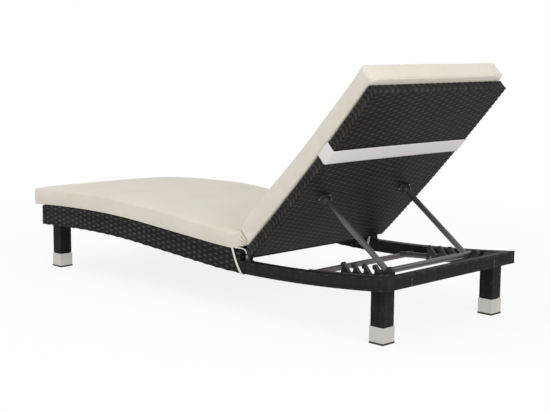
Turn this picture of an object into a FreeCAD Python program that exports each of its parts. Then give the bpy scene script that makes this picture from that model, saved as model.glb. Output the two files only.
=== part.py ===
# Folding sun lounger with a woven frame, an adjustable backrest held by a prop stay and two toothed racks,
# and one folded pad. Lengths are in millimetres. X runs from the foot end to the head end, Y across, Z up.
# The origin lies on the floor in the middle of the footprint.
import FreeCAD
import Part
import Sketcher
import math
import os
import re

from FreeCAD import Placement, Rotation, Vector

doc = FreeCAD.newDocument("Lounger")

# Driving dimensions, grouped by the piece that carries them
SIZES = {
    # Frame outline, seen from the side: arcs and one straight slope that touch each other
    "frame_length": 2000,
    "frame_width": 764,
    "pad_overhang": 50,
    "dip_reach": 706,
    "dip_height": 155,
    "foot_curve_radius": 6500,
    "crest_curve_radius": 4200,
    "slope_angle": 4,
    "slope_length": 420,
    "dip_curve_radius": 2600,
    "head_curve_radius": 6400,
    # Woven bands and rails, and the tubes inside them
    "band_height": 90,
    "rail_height": 50,
    "rail_width": 40,
    "weave_skin": 3,
    "fit_gap": 0.3,
    "running_gap": 0.08,
    "tube_wall": 2,
    "deck_thickness": 6,
    "deck_drop": 2,
    "cross_tube_diameter": 25,
    "seat_end_height": 40,
    # Legs
    "leg_side": 60,
    "leg_inset_length": 66,
    "leg_inset_width": 62,
    "sleeve_height": 57,
    "sleeve_wall": 1.2,
    "glide_height": 4,
    "glide_edge": 2,
    "leg_bolt_diameter": 8,
    "leg_bolt_head_diameter": 13,
    "leg_bolt_head_height": 3,
    # Hinge
    "hinge_reach": 675,
    "hinge_rise": 17,
    "hinge_pin_diameter": 8,
    "hinge_pin_head_diameter": 14,
    "hinge_pin_head_height": 3,
    "hinge_cheek_thickness": 4,
    "hinge_cheek_radius": 11,
    "hinge_base_thickness": 3,
    "hinge_base_length": 34,
    "hinge_lug_thickness": 6,
    "washer_thickness": 1.5,
    "band_end_gap": 25,
    # Backrest, along its own length from the hinge pin
    "backrest_length": 875,
    "backrest_thickness": 38.5,
    "backrest_back_drop": 15,
    "backrest_curve_radius": 10000,
    "backrest_start": 19,
    "backrest_lug_root": 60,
    "backrest_edge_radius": 6,
    # Prop stay
    "stay_length": 364,
    "stay_tube_diameter": 22,
    "stay_inset": 111,
    "stay_cross_inset": 80,
    "stay_pivot_reach": 348,
    "stay_pivot_clearance": 3,
    "stay_pin_diameter": 8,
    "stay_pin_head_height": 3,
    "stay_lug_thickness": 4,
    "stay_lug_width": 26,
    "stay_plug_thickness": 3,
    "stay_flange_width": 13,
    "bracket_plate_thickness": 2,
    "bracket_screw_diameter": 5,
    "bracket_screw_head_height": 2,
    # Racks and the inner frame that carries them
    "rack_plate_thickness": 8,
    "rack_inset": 96,
    "rack_notch_count": 4,
    "rack_pitch": 49,
    "rack_slot_width": 24,
    "rack_lean": 30,
    "rack_tooth_rise": 20,
    "rack_tooth_round": 4,
    "rack_tail_length": 47,
    "rack_plate_rise": 12,
    "rack_notch_from_head": 120,
    "rack_notch_height": 49,
    "rack_screw_diameter": 6,
    "rack_screw_head_diameter": 11,
    "rack_screw_head_height": 2.5,
    "rack_screw_depth": 14,
    "inner_tube_diameter": 22,
    "inner_tube_rise": 16,
    "rack_bar_rise": 22,
    "bar_flange_thickness": 3,
    "bar_flange_width": 40,
    "bar_flange_low": 5,
    "bar_flange_high": 39,
    "bar_bolt_low": 13,
    "bar_bolt_high": 30,
    "inner_cross_reach": 457,
    # Pad, ties and strap
    "seat_pad_thickness": 60,
    "back_pad_thickness": 70,
    "pad_crown": 8,
    "pad_side_bulge": 7,
    "pad_side_pull": 5,
    "pad_end_taper": 14,
    "pad_end_run": 22,
    "pad_section_count": 8,
    "pad_waist": 3,
    "pad_gap": 0.4,
    "seat_pad_lean": 14,
    "back_pad_lean": 15,
    "seat_pad_end_gap": 14,
    "back_pad_start": 32,
    "back_pad_overhang": 28,
    "strap_width": 65,
    "strap_thickness": 1.5,
    "strap_place": 576,
    "tie_width": 9,
    "tie_thickness": 1.2,
    "tie_top_reach": 51,
    "tie_bottom_reach": 4,
    "tie_tail_height": 40,
}

sheet = doc.addObject("Spreadsheet::Sheet", "Sizes")
for row, (alias, number) in enumerate(SIZES.items(), start=1):
    sheet.set(f"A{row}", alias)
    sheet.set(f"B{row}", str(number))
    sheet.setAlias(f"B{row}", alias)
doc.recompute()


def size(alias):
    """Value of one named size, read from the sheet."""
    return float(getattr(sheet, alias))


def bind(thing, prop, formula):
    """Ties a property to a formula whose words are names of sizes."""
    words = re.split(r"([a-z_]+)", formula)
    thing.setExpression(prop, "".join("Sizes." + word if word in SIZES else word for word in words))


# Places that follow from the driving dimensions
head_x = (size("frame_length") + size("pad_overhang")) / 2
foot_x = head_x - size("frame_length")
side_y = size("frame_width") / 2
inner_y = side_y - size("rail_width")
skin = size("weave_skin")
gap = size("fit_gap")
wall = size("tube_wall")
dip_x = head_x - size("dip_reach")
hinge_x = head_x - size("hinge_reach")
band_end_x = hinge_x - size("band_end_gap")


class Curve:
    """Side view of a bent piece: arcs and straight runs that touch, from the foot end to the head end.

    A stretch keeps its start, the angles of its two ends and its radius, positive where it bends upward.
    """

    def __init__(self, start, start_angle):
        self.end = start
        self.angle = start_angle
        self.stretches = []

    def bend(self, radius, end_angle):
        """Adds an arc of the signed radius that ends at the angle."""
        centre = self.end + Vector(-math.sin(self.angle), 0, math.cos(self.angle)) * radius
        self.stretches.append((centre, radius, self.angle, end_angle))
        self.angle = end_angle
        self.end = centre + Vector(math.sin(end_angle), 0, -math.cos(end_angle)) * radius

    def run(self, length):
        """Adds a straight run."""
        start = self.end
        self.end = start + Vector(math.cos(self.angle), 0, math.sin(self.angle)) * length
        self.stretches.append((start, None, self.end, self.angle))

    def edges(self, rise):
        """Edges of the line that lies the rise above the curve."""
        made = []
        for stretch in self.stretches:
            if stretch[1] is None:
                start, _, end, angle = stretch
                up = Vector(-math.sin(angle), 0, math.cos(angle)) * rise
                made.append(Part.LineSegment(start + up, end + up).toShape())
                continue
            centre, radius, low, high = stretch
            turns = [Vector(math.sin(turn), 0, -math.cos(turn)) for turn in (low, (low + high) / 2, high)]
            made.append(Part.Arc(*[centre + turn * (radius - rise) for turn in turns]).toShape())
        return made

    def at(self, x, rise=0):
        """Point at x on the line that lies the rise above the curve, and the line's angle there."""
        for stretch in self.stretches:
            if stretch[1] is None:
                start, _, end, angle = stretch
                shift = rise * math.sin(angle)
                if start.x - shift <= x <= end.x - shift:
                    height = start.z + rise * math.cos(angle) + (x - start.x + shift) * math.tan(angle)
                    return Vector(x, 0, height), angle
                continue
            centre, radius, low, high = stretch
            angle = math.asin((x - centre.x) / (radius - rise))
            if min(low, high) <= angle <= max(low, high):
                return Vector(x, 0, centre.z - math.cos(angle) * (radius - rise)), angle
        raise ValueError(f"no curve at {x}")


def frame_curve():
    """Underside of the side frame: a crest under the knees, a dip at the hinge, a rise to the head end."""
    slope = math.radians(size("slope_angle"))
    down = slope
    crest = size("crest_curve_radius")
    dip = size("dip_curve_radius")
    run = size("slope_length")
    crest_x = dip_x - dip * math.sin(down) - run * math.cos(down) - crest * math.sin(down)
    crest_z = size("dip_height") + (dip + crest) * (1 - math.cos(down)) + run * math.sin(down)
    foot = size("foot_curve_radius")
    head = size("head_curve_radius")
    spare = 2 * size("rail_width")
    foot_angle = math.asin((crest_x - foot_x + spare) / foot)
    head_angle = math.asin((size("dip_reach") + spare) / head)
    start = Vector(crest_x - foot * math.sin(foot_angle), 0, crest_z - foot * (1 - math.cos(foot_angle)))
    curve = Curve(start, foot_angle)
    curve.bend(-foot, 0)
    curve.bend(-crest, -slope)
    curve.run(run)
    curve.bend(dip, 0)
    curve.bend(head, head_angle)
    return curve


def backrest_curve():
    """Back face of the backrest, in its own frame with the hinge pin at the origin."""
    radius = size("backrest_curve_radius")
    reach = size("backrest_length") + size("back_pad_overhang") + size("rail_width")
    spare_angle = size("rail_width") / radius
    start = Vector(-radius * math.sin(spare_angle), 0, -size("backrest_back_drop"))
    start.z += radius * (1 - math.cos(spare_angle))
    curve = Curve(start, -spare_angle)
    curve.bend(radius, reach / radius)
    return curve


def slab(curve, low, high, x_from, x_to, y_from, y_to):
    """Solid between two lines above a curve, cut off square at two x and two y."""
    lower = curve.edges(low)
    upper = curve.edges(high)
    low_ends = lower[0].Vertexes[0].Point, lower[-1].Vertexes[-1].Point
    high_ends = upper[0].Vertexes[0].Point, upper[-1].Vertexes[-1].Point
    sides = [Part.LineSegment(low_ends[i], high_ends[i]).toShape() for i in (0, 1)]
    outline = Part.Wire(Part.__sortEdges__(lower + upper + sides))
    solid = Part.Face(outline).extrude(Vector(0, y_to - y_from, 0))
    solid.translate(Vector(0, y_from, 0))
    box = solid.BoundBox
    room = Part.makeBox(x_to - x_from, y_to - y_from, box.ZLength, Vector(x_from, y_from, box.ZMin))
    return solid.common(room).removeSplitter()


frame = frame_curve()
back = backrest_curve()
pieces = []


def keep(thing, label):
    """Gives a finished sub-part its label, which names its file."""
    thing.Label = label
    pieces.append(thing)
    return thing


def shaped(label, solid, placement=None):
    """Sub-part whose solid is worked out from the sheet, for bent and lofted pieces."""
    thing = doc.addObject("Part::Feature", label)
    thing.Shape = solid
    if placement:
        thing.Placement = placement
    return keep(thing, label)


def plane(body, role):
    """One of a body's own origin planes."""
    return next(feature for feature in body.Origin.OriginFeatures if feature.Role == role)


def circle(sketch, diameter, rough):
    """Circle centred on the sketch's origin, its diameter tied to a formula."""
    edge = sketch.addGeometry(Part.Circle(Vector(0, 0, 0), Vector(0, 0, 1), rough), False)
    sketch.addConstraint(Sketcher.Constraint("Coincident", edge, 3, -1, 1))
    number = sketch.addConstraint(Sketcher.Constraint("Diameter", edge, 2 * rough))
    bind(sketch, f"Constraints[{number}]", diameter)


def round_tube(label, diameter, length, start, along):
    """Round tube padded from a point along a direction."""
    body = doc.addObject("PartDesign::Body", label)
    sketch = body.newObject("Sketcher::SketchObject", label + "_section")
    sketch.AttachmentSupport = (plane(body, "XY_Plane"), [""])
    sketch.MapMode = "FlatFace"
    circle(sketch, diameter, size(diameter) / 2)
    circle(sketch, f"{diameter} - 2 * tube_wall", size(diameter) / 2 - size("tube_wall"))
    pad = body.newObject("PartDesign::Pad", label + "_pad")
    pad.Profile = sketch
    bind(pad, "Length", length)
    body.Placement = Placement(start, Rotation(Vector(0, 0, 1), along))
    return keep(body, label)


def rod(diameter, start, end):
    """Plain cylinder between two points."""
    return Part.makeCylinder(diameter / 2, (end - start).Length, start, end - start)


SIDES = (("left", -1), ("right", 1))
across = Vector(0, 1, 0)


def span(sign, low, high):
    """Range across the frame on one side, from distances to the middle."""
    return (low, high) if sign > 0 else (-high, -low)


# Holes for the leg bolts, worked out first because the tubes, the skins and the legs all share them
leg_places = []
for end, leg_x in (("foot", foot_x + size("leg_inset_length")), ("head", head_x - size("leg_inset_length"))):
    for side, sign in SIDES:
        leg_places.append((f"{end}_{side}", leg_x, sign * (side_y - size("leg_inset_width"))))
bolt_radius = size("leg_bolt_diameter") / 2
bolt_overrun_share = 0.2
leg_half = size("leg_side") / 2
leg_tube_half = size("leg_inset_width") - size("rail_width") - gap


def leg_bolt_line(leg_x, leg_y):
    """Start and end of the bolt that holds a leg tube to the lower side tube."""
    sign = math.copysign(1, leg_y)
    height = frame.at(leg_x, size("rail_height") / 2)[0].z
    start = Vector(leg_x, leg_y - sign * leg_tube_half, height)
    end = Vector(leg_x, sign * (inner_y + skin + gap + size("tube_wall") + gap), height)
    return start, end


def bolt_holes():
    """Cylinders that clear the leg bolts."""
    lines = [leg_bolt_line(leg_x, leg_y) for _, leg_x, leg_y in leg_places]
    clear = 2 * (bolt_radius + gap)
    return [rod(clear, start - (end - start) * bolt_overrun_share, end) for start, end in lines]


def less(solid, cutters):
    """The solid with every cutter taken out."""
    return solid.cut(Part.makeCompound(cutters))


def skin_of(curve, high, x_from, x_to, y_from, y_to):
    """Woven skin as a thin closed sleeve round its tube."""
    outer = slab(curve, 0, high, x_from, x_to, y_from, y_to)
    inner = slab(curve, skin, high - skin, x_from + skin, x_to - skin, y_from + skin, y_to - skin)
    return outer.cut(inner)


def bent_tube(curve, low, high, x_from, x_to, y_from, y_to):
    """Rectangular tube that follows a curve and fills the room inside its skin."""
    inset = gap + wall
    outer = slab(curve, low + gap, high - gap, x_from, x_to, y_from + gap, y_to - gap)
    bore = low + inset, high - inset, x_from - wall, x_to + wall, y_from + inset, y_to - inset
    return outer.cut(slab(curve, *bore))


band_height = size("band_height")
rail_height = size("rail_height")
rail_width = size("rail_width")
holes = bolt_holes()
side_from = inner_y + skin
side_to = side_y - skin
tube_end = skin + gap
upper_low = rail_height - skin

# Woven side bands and lower rails, and the curved tubes inside them
for side, sign in SIDES:
    y_from, y_to = span(sign, inner_y, side_y)
    in_from, in_to = span(sign, side_from, side_to)
    band = skin_of(frame, band_height, foot_x, band_end_x, y_from, y_to)
    passage = slab(frame, skin, rail_height - skin, band_end_x - 2 * skin, band_end_x, in_from, in_to)
    shaped(f"seat_side_band_{side}", less(band, [passage] + holes))
    rail = skin_of(frame, rail_height, band_end_x, head_x, y_from, y_to)
    passage = slab(frame, skin, rail_height - skin, band_end_x, band_end_x + 2 * skin, in_from, in_to)
    shaped(f"head_side_rail_{side}", less(rail, [passage] + holes))
    lower = bent_tube(frame, skin, rail_height - skin, foot_x + tube_end, head_x - tube_end, in_from, in_to)
    shaped(f"lower_side_tube_{side}", less(lower, holes))
    ends = foot_x + tube_end, band_end_x - tube_end
    upper = bent_tube(frame, upper_low, band_height - skin, *ends, in_from, in_to)
    shaped(f"upper_side_tube_{side}", upper)

# Woven foot band, head rail and seat end rail, and the straight tubes inside them
foot_inner = foot_x + rail_width
head_inner = head_x - rail_width
seat_end_low = band_height - size("seat_end_height")
shaped("foot_band", skin_of(frame, band_height, foot_x, foot_inner, -inner_y, inner_y))
bar_radius = size("inner_tube_diameter") / 2
rack_inner = inner_y - size("rack_inset")
rack_outer = rack_inner + size("rack_plate_thickness")
bar_y = rack_outer + gap + bar_radius
flange_to = head_inner - gap
flange_from = flange_to - size("bar_flange_thickness")
screw_diameter = size("rack_screw_diameter")
head_diameter = size("rack_screw_head_diameter")
head_height = size("rack_screw_head_height")
bar_bolts = []
bar_bolt_holes = []
for _, sign in SIDES:
    for rise in (size("bar_bolt_low"), size("bar_bolt_high")):
        outside = Vector(head_x, sign * rack_inner, frame.at(head_inner, rise)[0].z)
        inside = Vector(flange_from, outside.y, outside.z)
        seat = outside - Vector(head_height, 0, 0)
        bar_bolts.append(rod(screw_diameter, inside, seat).fuse(rod(head_diameter, seat, outside)))
        bar_bolt_holes.append(rod(screw_diameter + 2 * gap, inside - Vector(gap, 0, 0), outside))
        bar_bolt_holes.append(rod(head_diameter + 2 * gap, seat - Vector(gap, 0, 0), outside))
head_rail = skin_of(frame, rail_height, head_inner, head_x, -inner_y, inner_y)
shaped("head_rail", less(head_rail, bar_bolt_holes))
seat_end_x = band_end_x - rail_width
seat_end_outer = slab(frame, seat_end_low, band_height, seat_end_x, band_end_x, -inner_y, inner_y)
seat_end_room = seat_end_low + skin, band_height - skin, seat_end_x + skin, band_end_x - skin
seat_end_hollow = slab(frame, *seat_end_room, skin - inner_y, inner_y - skin)
shaped("seat_end_rail", seat_end_outer.cut(seat_end_hollow))


def straight_tube(low, high, x_from, x_to):
    """Rectangular tube across the frame, inside a woven rail."""
    y_end = inner_y - tube_end
    inset = gap + wall
    outer = slab(frame, low + gap, high - gap, x_from + gap, x_to - gap, -y_end, y_end)
    return outer.cut(slab(frame, low + inset, high - inset, x_from + inset, x_to - inset, -inner_y, inner_y))


foot_tubes = [
    straight_tube(low, high, foot_x + skin, foot_inner - skin)
    for low, high in ((skin, rail_height - skin), (upper_low, band_height - skin))
]
shaped("foot_tubes", Part.makeCompound(foot_tubes))
head_tube = straight_tube(skin, rail_height - skin, head_inner + skin, head_x - skin)
shaped("head_tube", less(head_tube, bar_bolt_holes))
shaped("seat_end_tube", straight_tube(*seat_end_room))

# Woven seat deck and the round tubes that carry it
deck_high = band_height - size("deck_drop")
deck_low = deck_high - size("deck_thickness")
shaped("seat_deck", slab(frame, deck_low, deck_high, foot_inner, seat_end_x, -inner_y, inner_y))
seat_tube_count = 3
seat_tube_rise = deck_low - gap - size("cross_tube_diameter") / 2
bore_diameter = size("cross_tube_diameter") - 2 * wall
seat_tubes = []
for number in range(1, seat_tube_count + 1):
    tube_x = foot_inner + (band_end_x - foot_inner) * number / (seat_tube_count + 1)
    middle = frame.at(tube_x, seat_tube_rise)[0]
    ends = middle - across * inner_y, middle + across * inner_y
    seat_tubes.append(rod(size("cross_tube_diameter"), *ends).cut(rod(bore_diameter, *ends)))
shaped("seat_cross_tubes", Part.makeCompound(seat_tubes))

# Legs: an inner tube up into the frame's corner, a woven wrap, an aluminium sleeve and a plastic glide
glide_top = size("glide_height")
sleeve_top = glide_top + size("sleeve_height")


def upright(leg_x, leg_y, half, low, rise):
    """Square post from a height to a rise above the frame's underside."""
    under = slab(frame, -head_x, rise, leg_x - half, leg_x + half, leg_y - half, leg_y + half)
    box = Part.makeBox(2 * half, 2 * half, under.BoundBox.ZMax, Vector(leg_x - half, leg_y - half, low))
    return box.common(under)


def hollow_post(leg_x, leg_y, half, thickness, low, rise):
    """Square sleeve, open at both ends."""
    inside = Part.makeBox(
        2 * (half - thickness), 2 * (half - thickness), head_x,
        Vector(leg_x - half + thickness, leg_y - half + thickness, low - thickness)
    )
    return upright(leg_x, leg_y, half, low, rise).cut(inside)


sleeves = []
glides = []
leg_tubes = []
leg_bolts = []
leg_frame_rise = rail_height - skin
for place, leg_x, leg_y in leg_places:
    wrap_skin = leg_half - leg_tube_half - gap
    shaped(f"leg_wrap_{place}", hollow_post(leg_x, leg_y, leg_half, wrap_skin, sleeve_top, -gap))
    tube = hollow_post(leg_x, leg_y, leg_tube_half, wall, glide_top + gap, leg_frame_rise)
    leg_tubes.append(less(tube, holes))
    sleeve_half = leg_half + size("sleeve_wall")
    outer = Part.makeBox(
        2 * sleeve_half, 2 * sleeve_half, size("sleeve_height"),
        Vector(leg_x - sleeve_half, leg_y - sleeve_half, glide_top)
    )
    bore_half = leg_tube_half + gap
    bore_corner = Vector(leg_x - bore_half, leg_y - bore_half, glide_top - wall)
    bore = Part.makeBox(2 * bore_half, 2 * bore_half, sleeve_top, bore_corner)
    upright_edges = [edge for edge in outer.Edges if edge.BoundBox.ZLength > glide_top]
    sleeves.append(outer.makeFillet(size("sleeve_wall"), upright_edges).cut(bore))
    glide_half = leg_half - size("glide_edge")
    glides.append(Part.makeBox(
        2 * glide_half, 2 * glide_half, glide_top, Vector(leg_x - glide_half, leg_y - glide_half, 0)
    ))
    start, end = leg_bolt_line(leg_x, leg_y)
    along = (end - start).normalize()
    head = rod(size("leg_bolt_head_diameter"), start - along * size("leg_bolt_head_height"), start)
    leg_bolts.append(head.fuse(rod(size("leg_bolt_diameter"), start, end - along * gap)))
shaped("leg_tubes", Part.makeCompound(leg_tubes))
shaped("leg_sleeves", Part.makeCompound(sleeves))
shaped("leg_glides", Part.makeCompound(glides))
shaped("leg_bolts", Part.makeCompound(leg_bolts))

# Inner cross tube and the two straight bars that carry the racks
cross_x = head_x - size("inner_cross_reach")
cross_start = frame.at(cross_x, size("inner_tube_rise"))[0] - across * inner_y
cross_outer = rod(2 * bar_radius, cross_start, cross_start + across * 2 * inner_y)
round_tube("inner_cross_tube", "inner_tube_diameter", "frame_width - 2 * rail_width", cross_start, across)
bar_rise = size("rack_bar_rise")
bar_start = frame.at(cross_x, bar_rise)[0]
bar_run = frame.at(flange_to, bar_rise)[0] - bar_start


def bar_at(x):
    """Point at x on the bars' centre line, in the middle of the frame."""
    return bar_start + bar_run * ((x - cross_x) / bar_run.x)


def bar_tube(y):
    """Round tube from the cross tube to the flange, cut upright at both ends."""
    ends = [bar_at(x) + across * y for x in (cross_x - bar_radius, flange_to + bar_radius)]
    tube = rod(2 * bar_radius, *ends).cut(rod(2 * (bar_radius - wall), *ends))
    corner = Vector(cross_x, y - 2 * bar_radius, 0)
    return tube.common(Part.makeBox(flange_from - cross_x, 4 * bar_radius, head_x, corner))


# Racks: a plate on the inner side of its bar, with leaning slots that part its teeth
notch_rise = size("rack_notch_height")
notch_count = int(size("rack_notch_count"))
lean = math.radians(size("rack_lean"))
slot_radius = size("rack_slot_width") / 2
first_notch_x = head_x - size("rack_notch_from_head")
rack_high = notch_rise + size("rack_tooth_rise")
rack_from = first_notch_x - notch_count * size("rack_pitch")
rack_to = first_notch_x + size("rack_tail_length")


def notch(number):
    """Centre of a slot's round end, counted from the head end, and the slot's direction upward."""
    centre, angle = frame.at(first_notch_x - number * size("rack_pitch"), notch_rise)
    tilt = angle + lean
    return centre, Vector(-math.sin(tilt), 0, math.cos(tilt))


def slot_cutter(number, y):
    """Leaning slot with a round end, long enough to leave the rack's top."""
    centre, up = notch(number)
    reach = 3 * size("rack_tooth_rise")
    side = Vector(up.z, 0, -up.x) * slot_radius
    depth = 3 * size("rack_plate_thickness")
    corners = [centre + side, centre + side + up * reach, centre - side + up * reach, centre - side]
    block = Part.Face(Part.makePolygon(corners + corners[:1])).extrude(across * depth)
    cutter = block.fuse(Part.makeCylinder(slot_radius, depth, centre, across))
    cutter.translate(across * (y - depth / 3))
    return cutter


screws = []
for side, sign in SIDES:
    y_from, y_to = span(sign, rack_inner, rack_outer)
    face = across * sign * rack_inner
    screw_places = rack_from + size("rack_pitch") / 2, first_notch_x + slot_radius
    screw_feet = [bar_at(x) + face for x in screw_places]
    depth = across * sign * size("rack_screw_depth")
    clear = across * sign * gap
    screw_holes = [rod(screw_diameter + gap, foot - depth, foot + depth + clear) for foot in screw_feet]
    flange_y = span(sign, bar_y + bar_radius - size("bar_flange_width"), bar_y + bar_radius)
    flange = slab(frame, size("bar_flange_low"), size("bar_flange_high"), flange_from, flange_to, *flange_y)
    bar = less(bar_tube(sign * bar_y), [cross_outer] + screw_holes)
    shaped(f"rack_bar_{side}", less(bar.fuse(flange), bar_bolt_holes))
    plate = slab(frame, size("rack_plate_rise"), rack_high, rack_from, rack_to, y_from, y_to)
    plate = less(plate, [slot_cutter(number, y_from) for number in range(notch_count)])
    tops = [
        edge for edge in plate.Edges
        if edge.BoundBox.YLength > gap > edge.BoundBox.XLength
        and edge.BoundBox.ZMin > frame.at(edge.BoundBox.Center.x, rack_high - gap)[0].z
    ]
    plate = plate.makeFillet(size("rack_tooth_round"), tops)
    shaped(f"rack_{side}", less(plate, screw_holes))
    for foot in screw_feet:
        head = rod(head_diameter, foot, foot - across * sign * head_height)
        screws.append(head.fuse(rod(screw_diameter, foot, foot + depth)))
shaped("rack_screws", Part.makeCompound(screws))
shaped("rack_bar_bolts", Part.makeCompound(bar_bolts))

# Hinge: a bracket on each low rail, a lug inside each backrest side, a pin and two washers between them
hinge_z = frame.at(hinge_x, rail_height)[0].z + size("hinge_rise")
hinge = Vector(hinge_x, 0, hinge_z)
hinge_y = (inner_y + side_y) / 2
lug_half = size("hinge_lug_thickness") / 2
cheek_inner = lug_half + size("washer_thickness") + gap
cheek_outer = cheek_inner + size("hinge_cheek_thickness")
base_half = size("hinge_base_length") / 2
base_top = size("hinge_base_thickness")
pin_radius = size("hinge_pin_diameter") / 2
pin_bore = pin_radius + size("running_gap")
cheek_radius = size("hinge_cheek_radius")


def cheek(y_from, y_to, drop):
    """Upright cheek with a round top about the hinge."""
    thickness = y_to - y_from
    corners = [Vector(hinge_x + step * cheek_radius, y_from, hinge_z) for step in (-1, 1)]
    corners += [point - Vector(0, 0, drop) for point in reversed(corners)]
    block = Part.Face(Part.makePolygon(corners + corners[:1])).extrude(across * thickness)
    return block.fuse(Part.makeCylinder(cheek_radius, thickness, hinge + across * y_from, across))


washers = []
pins = []
for side, sign in SIDES:
    middle = sign * hinge_y
    base = slab(
        frame, rail_height, rail_height + base_top, hinge_x - base_half, hinge_x + base_half,
        middle - cheek_outer, middle + cheek_outer
    )
    drop = size("hinge_rise") - base_top / 2
    cheeks = [cheek(middle - cheek_outer, middle - cheek_inner, drop)]
    cheeks.append(cheek(middle + cheek_inner, middle + cheek_outer, drop))
    bracket = base.fuse(cheeks).removeSplitter()
    half = cheek_outer + gap
    bore = rod(2 * pin_bore, hinge + across * (middle - half), hinge + across * (middle + half))
    shaped(f"hinge_bracket_{side}", bracket.cut(bore))
    for step in (-1, 1):
        washer_from = middle + step * (lug_half + gap / 2) - (size("washer_thickness") if step < 0 else 0)
        start = hinge + across * washer_from
        end = start + across * size("washer_thickness")
        ring = rod(size("hinge_pin_head_diameter"), start, end)
        washers.append(ring.cut(rod(2 * (pin_radius + gap), start - across, end + across)))
    head_height = size("hinge_pin_head_height")
    shank_from = hinge + across * (middle - sign * cheek_outer)
    shank_to = hinge + across * (middle + sign * cheek_outer)
    head = rod(size("hinge_pin_head_diameter"), shank_to, shank_to + across * sign * head_height)
    tail = rod(size("hinge_pin_head_diameter"), shank_from, shank_from - across * sign * head_height)
    pins.append(rod(2 * pin_radius, shank_from, shank_to).fuse([head, tail]))
shaped("hinge_washers", Part.makeCompound(washers))
shaped("hinge_pins", Part.makeCompound(pins))

# Backrest, drawn lying flat along X from the hinge pin, then tilted about it
back_thick = size("backrest_thickness")
back_from = size("backrest_start")
back_to = size("backrest_length")
stay_radius = size("stay_tube_diameter") / 2
pivot_rise = stay_radius + size("stay_pivot_clearance")
pivot_local = back.at(size("stay_pivot_reach"), -pivot_rise)[0]
stay_length = size("stay_length")
seat_of_stay, slot_up = notch(0)
stay_foot = seat_of_stay - slot_up * (slot_radius - stay_radius - gap)
to_foot = stay_foot - hinge
reach = pivot_local.Length
cosine = (to_foot.Length ** 2 + reach ** 2 - stay_length ** 2) / (2 * to_foot.Length * reach)
tilt = math.atan2(to_foot.z, to_foot.x) + math.acos(cosine) - math.atan2(pivot_local.z, pivot_local.x)
tilted = Placement(hinge, Rotation(Vector(0, -1, 0), math.degrees(tilt)))
pivot = tilted.multVec(pivot_local)


def back_member(x_from, x_to, y_from, y_to):
    """Outside of one woven backrest member, and the room inside its skin."""
    outside = slab(back, 0, back_thick, x_from, x_to, y_from, y_to)
    inset = x_from + skin, x_to - skin, y_from + skin, y_to - skin
    return outside, slab(back, skin, back_thick - skin, *inset)


lug_low = skin + gap + wall + gap
lug_high = back_thick - lug_low
lugs = []
for side, sign in SIDES:
    y_from, y_to = span(sign, inner_y, side_y)
    outer, inner = back_member(back_from, back_to, y_from, y_to)
    middle = sign * hinge_y
    slot_half = lug_half + 2 * gap
    slot_room = back_from, back_from + 2 * skin, middle - slot_half, middle + slot_half
    slot = slab(back, skin, back_thick - skin, *slot_room)
    rounded = [
        edge for edge in outer.Edges
        if edge.BoundBox.XLength > rail_width and abs(edge.BoundBox.Center.y) > side_y - gap
    ]
    outer = outer.makeFillet(size("backrest_edge_radius"), rounded)
    shaped(f"back_side_wrap_{side}", less(outer.cut(inner), [slot]), tilted)
    in_from, in_to = span(sign, side_from, side_to)
    tube = bent_tube(back, skin, back_thick - skin, back_from + tube_end, back_to - tube_end, in_from, in_to)
    shaped(f"back_side_tube_{side}", tube, tilted)
    lug_room = back_from + tube_end, size("backrest_lug_root"), middle - lug_half, middle + lug_half
    root = slab(back, lug_low, lug_high, *lug_room)
    eye_radius = size("backrest_back_drop") - lug_low
    start = across * (middle - lug_half)
    corner = start - Vector(0, 0, eye_radius)
    neck = Part.makeBox(back_from + rail_width / 2, 2 * lug_half, 2 * eye_radius, corner)
    eye = rod(2 * eye_radius, start, start + across * 2 * lug_half)
    bore = rod(2 * pin_bore, start - across * lug_half, start + across * 3 * lug_half)
    lugs.append(root.fuse([neck, eye]).cut(bore))
shaped("hinge_lugs", Part.makeCompound(lugs), tilted)
tube_low = skin + gap
tube_high = back_thick - tube_low
end_tubes = []
for name, x_from, x_to in (
    ("back_bottom_wrap", back_from, back_from + rail_width), ("back_top_wrap", back_to - rail_width, back_to)
):
    outer, inner = back_member(x_from, x_to, -inner_y, inner_y)
    shaped(name, outer.cut(inner), tilted)
    x_low, x_high = x_from + tube_end, x_to - tube_end
    tube = slab(back, tube_low, tube_high, x_low, x_high, tube_end - inner_y, inner_y - tube_end)
    bore = tube_low + wall, tube_high - wall, x_low + wall, x_high - wall
    end_tubes.append(tube.cut(slab(back, *bore, -inner_y, inner_y)))
shaped("back_end_tubes", Part.makeCompound(end_tubes), tilted)
panel_from, panel_to = back_from + rail_width, back_to - rail_width
front_panel = slab(back, back_thick - skin, back_thick, panel_from, panel_to, -inner_y, inner_y)
shaped("front_panel", front_panel, tilted)

# Stay brackets on the back panel, screwed to a cross bar inside the backrest
stay_y = inner_y - size("stay_inset")
bar_from = size("stay_pivot_reach") - rail_width / 2
bar_to = bar_from + rail_width
cross_bar = slab(back, tube_low, tube_high, bar_from, bar_to, gap - inner_y, inner_y - gap)
bore = tube_low + wall, tube_high - wall, bar_from + wall, bar_to - wall
cross_bar = cross_bar.cut(slab(back, *bore, -inner_y, inner_y))
bracket_screw = size("bracket_screw_diameter")
bracket_head = size("bracket_screw_head_height")
plate_thickness = size("bracket_plate_thickness")
cheek_near = stay_radius + 2 * gap
cheek_far = cheek_near + size("stay_lug_thickness")
bracket_half = size("stay_lug_width") / 2
bracket_reach = cheek_far + size("stay_flange_width")
brackets = []
bracket_screws = []
stay_pins = []
screw_bores = []
bracket_from = size("stay_pivot_reach") - bracket_half
bracket_to = size("stay_pivot_reach") + bracket_half
screw_foot, screw_angle = back.at(size("stay_pivot_reach"), -plate_thickness)
screw_inward = Vector(-math.sin(screw_angle), 0, math.cos(screw_angle))
screw_tip = screw_foot + screw_inward * (2 * plate_thickness + tube_low + wall)
screw_top = screw_foot - screw_inward * bracket_head
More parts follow.
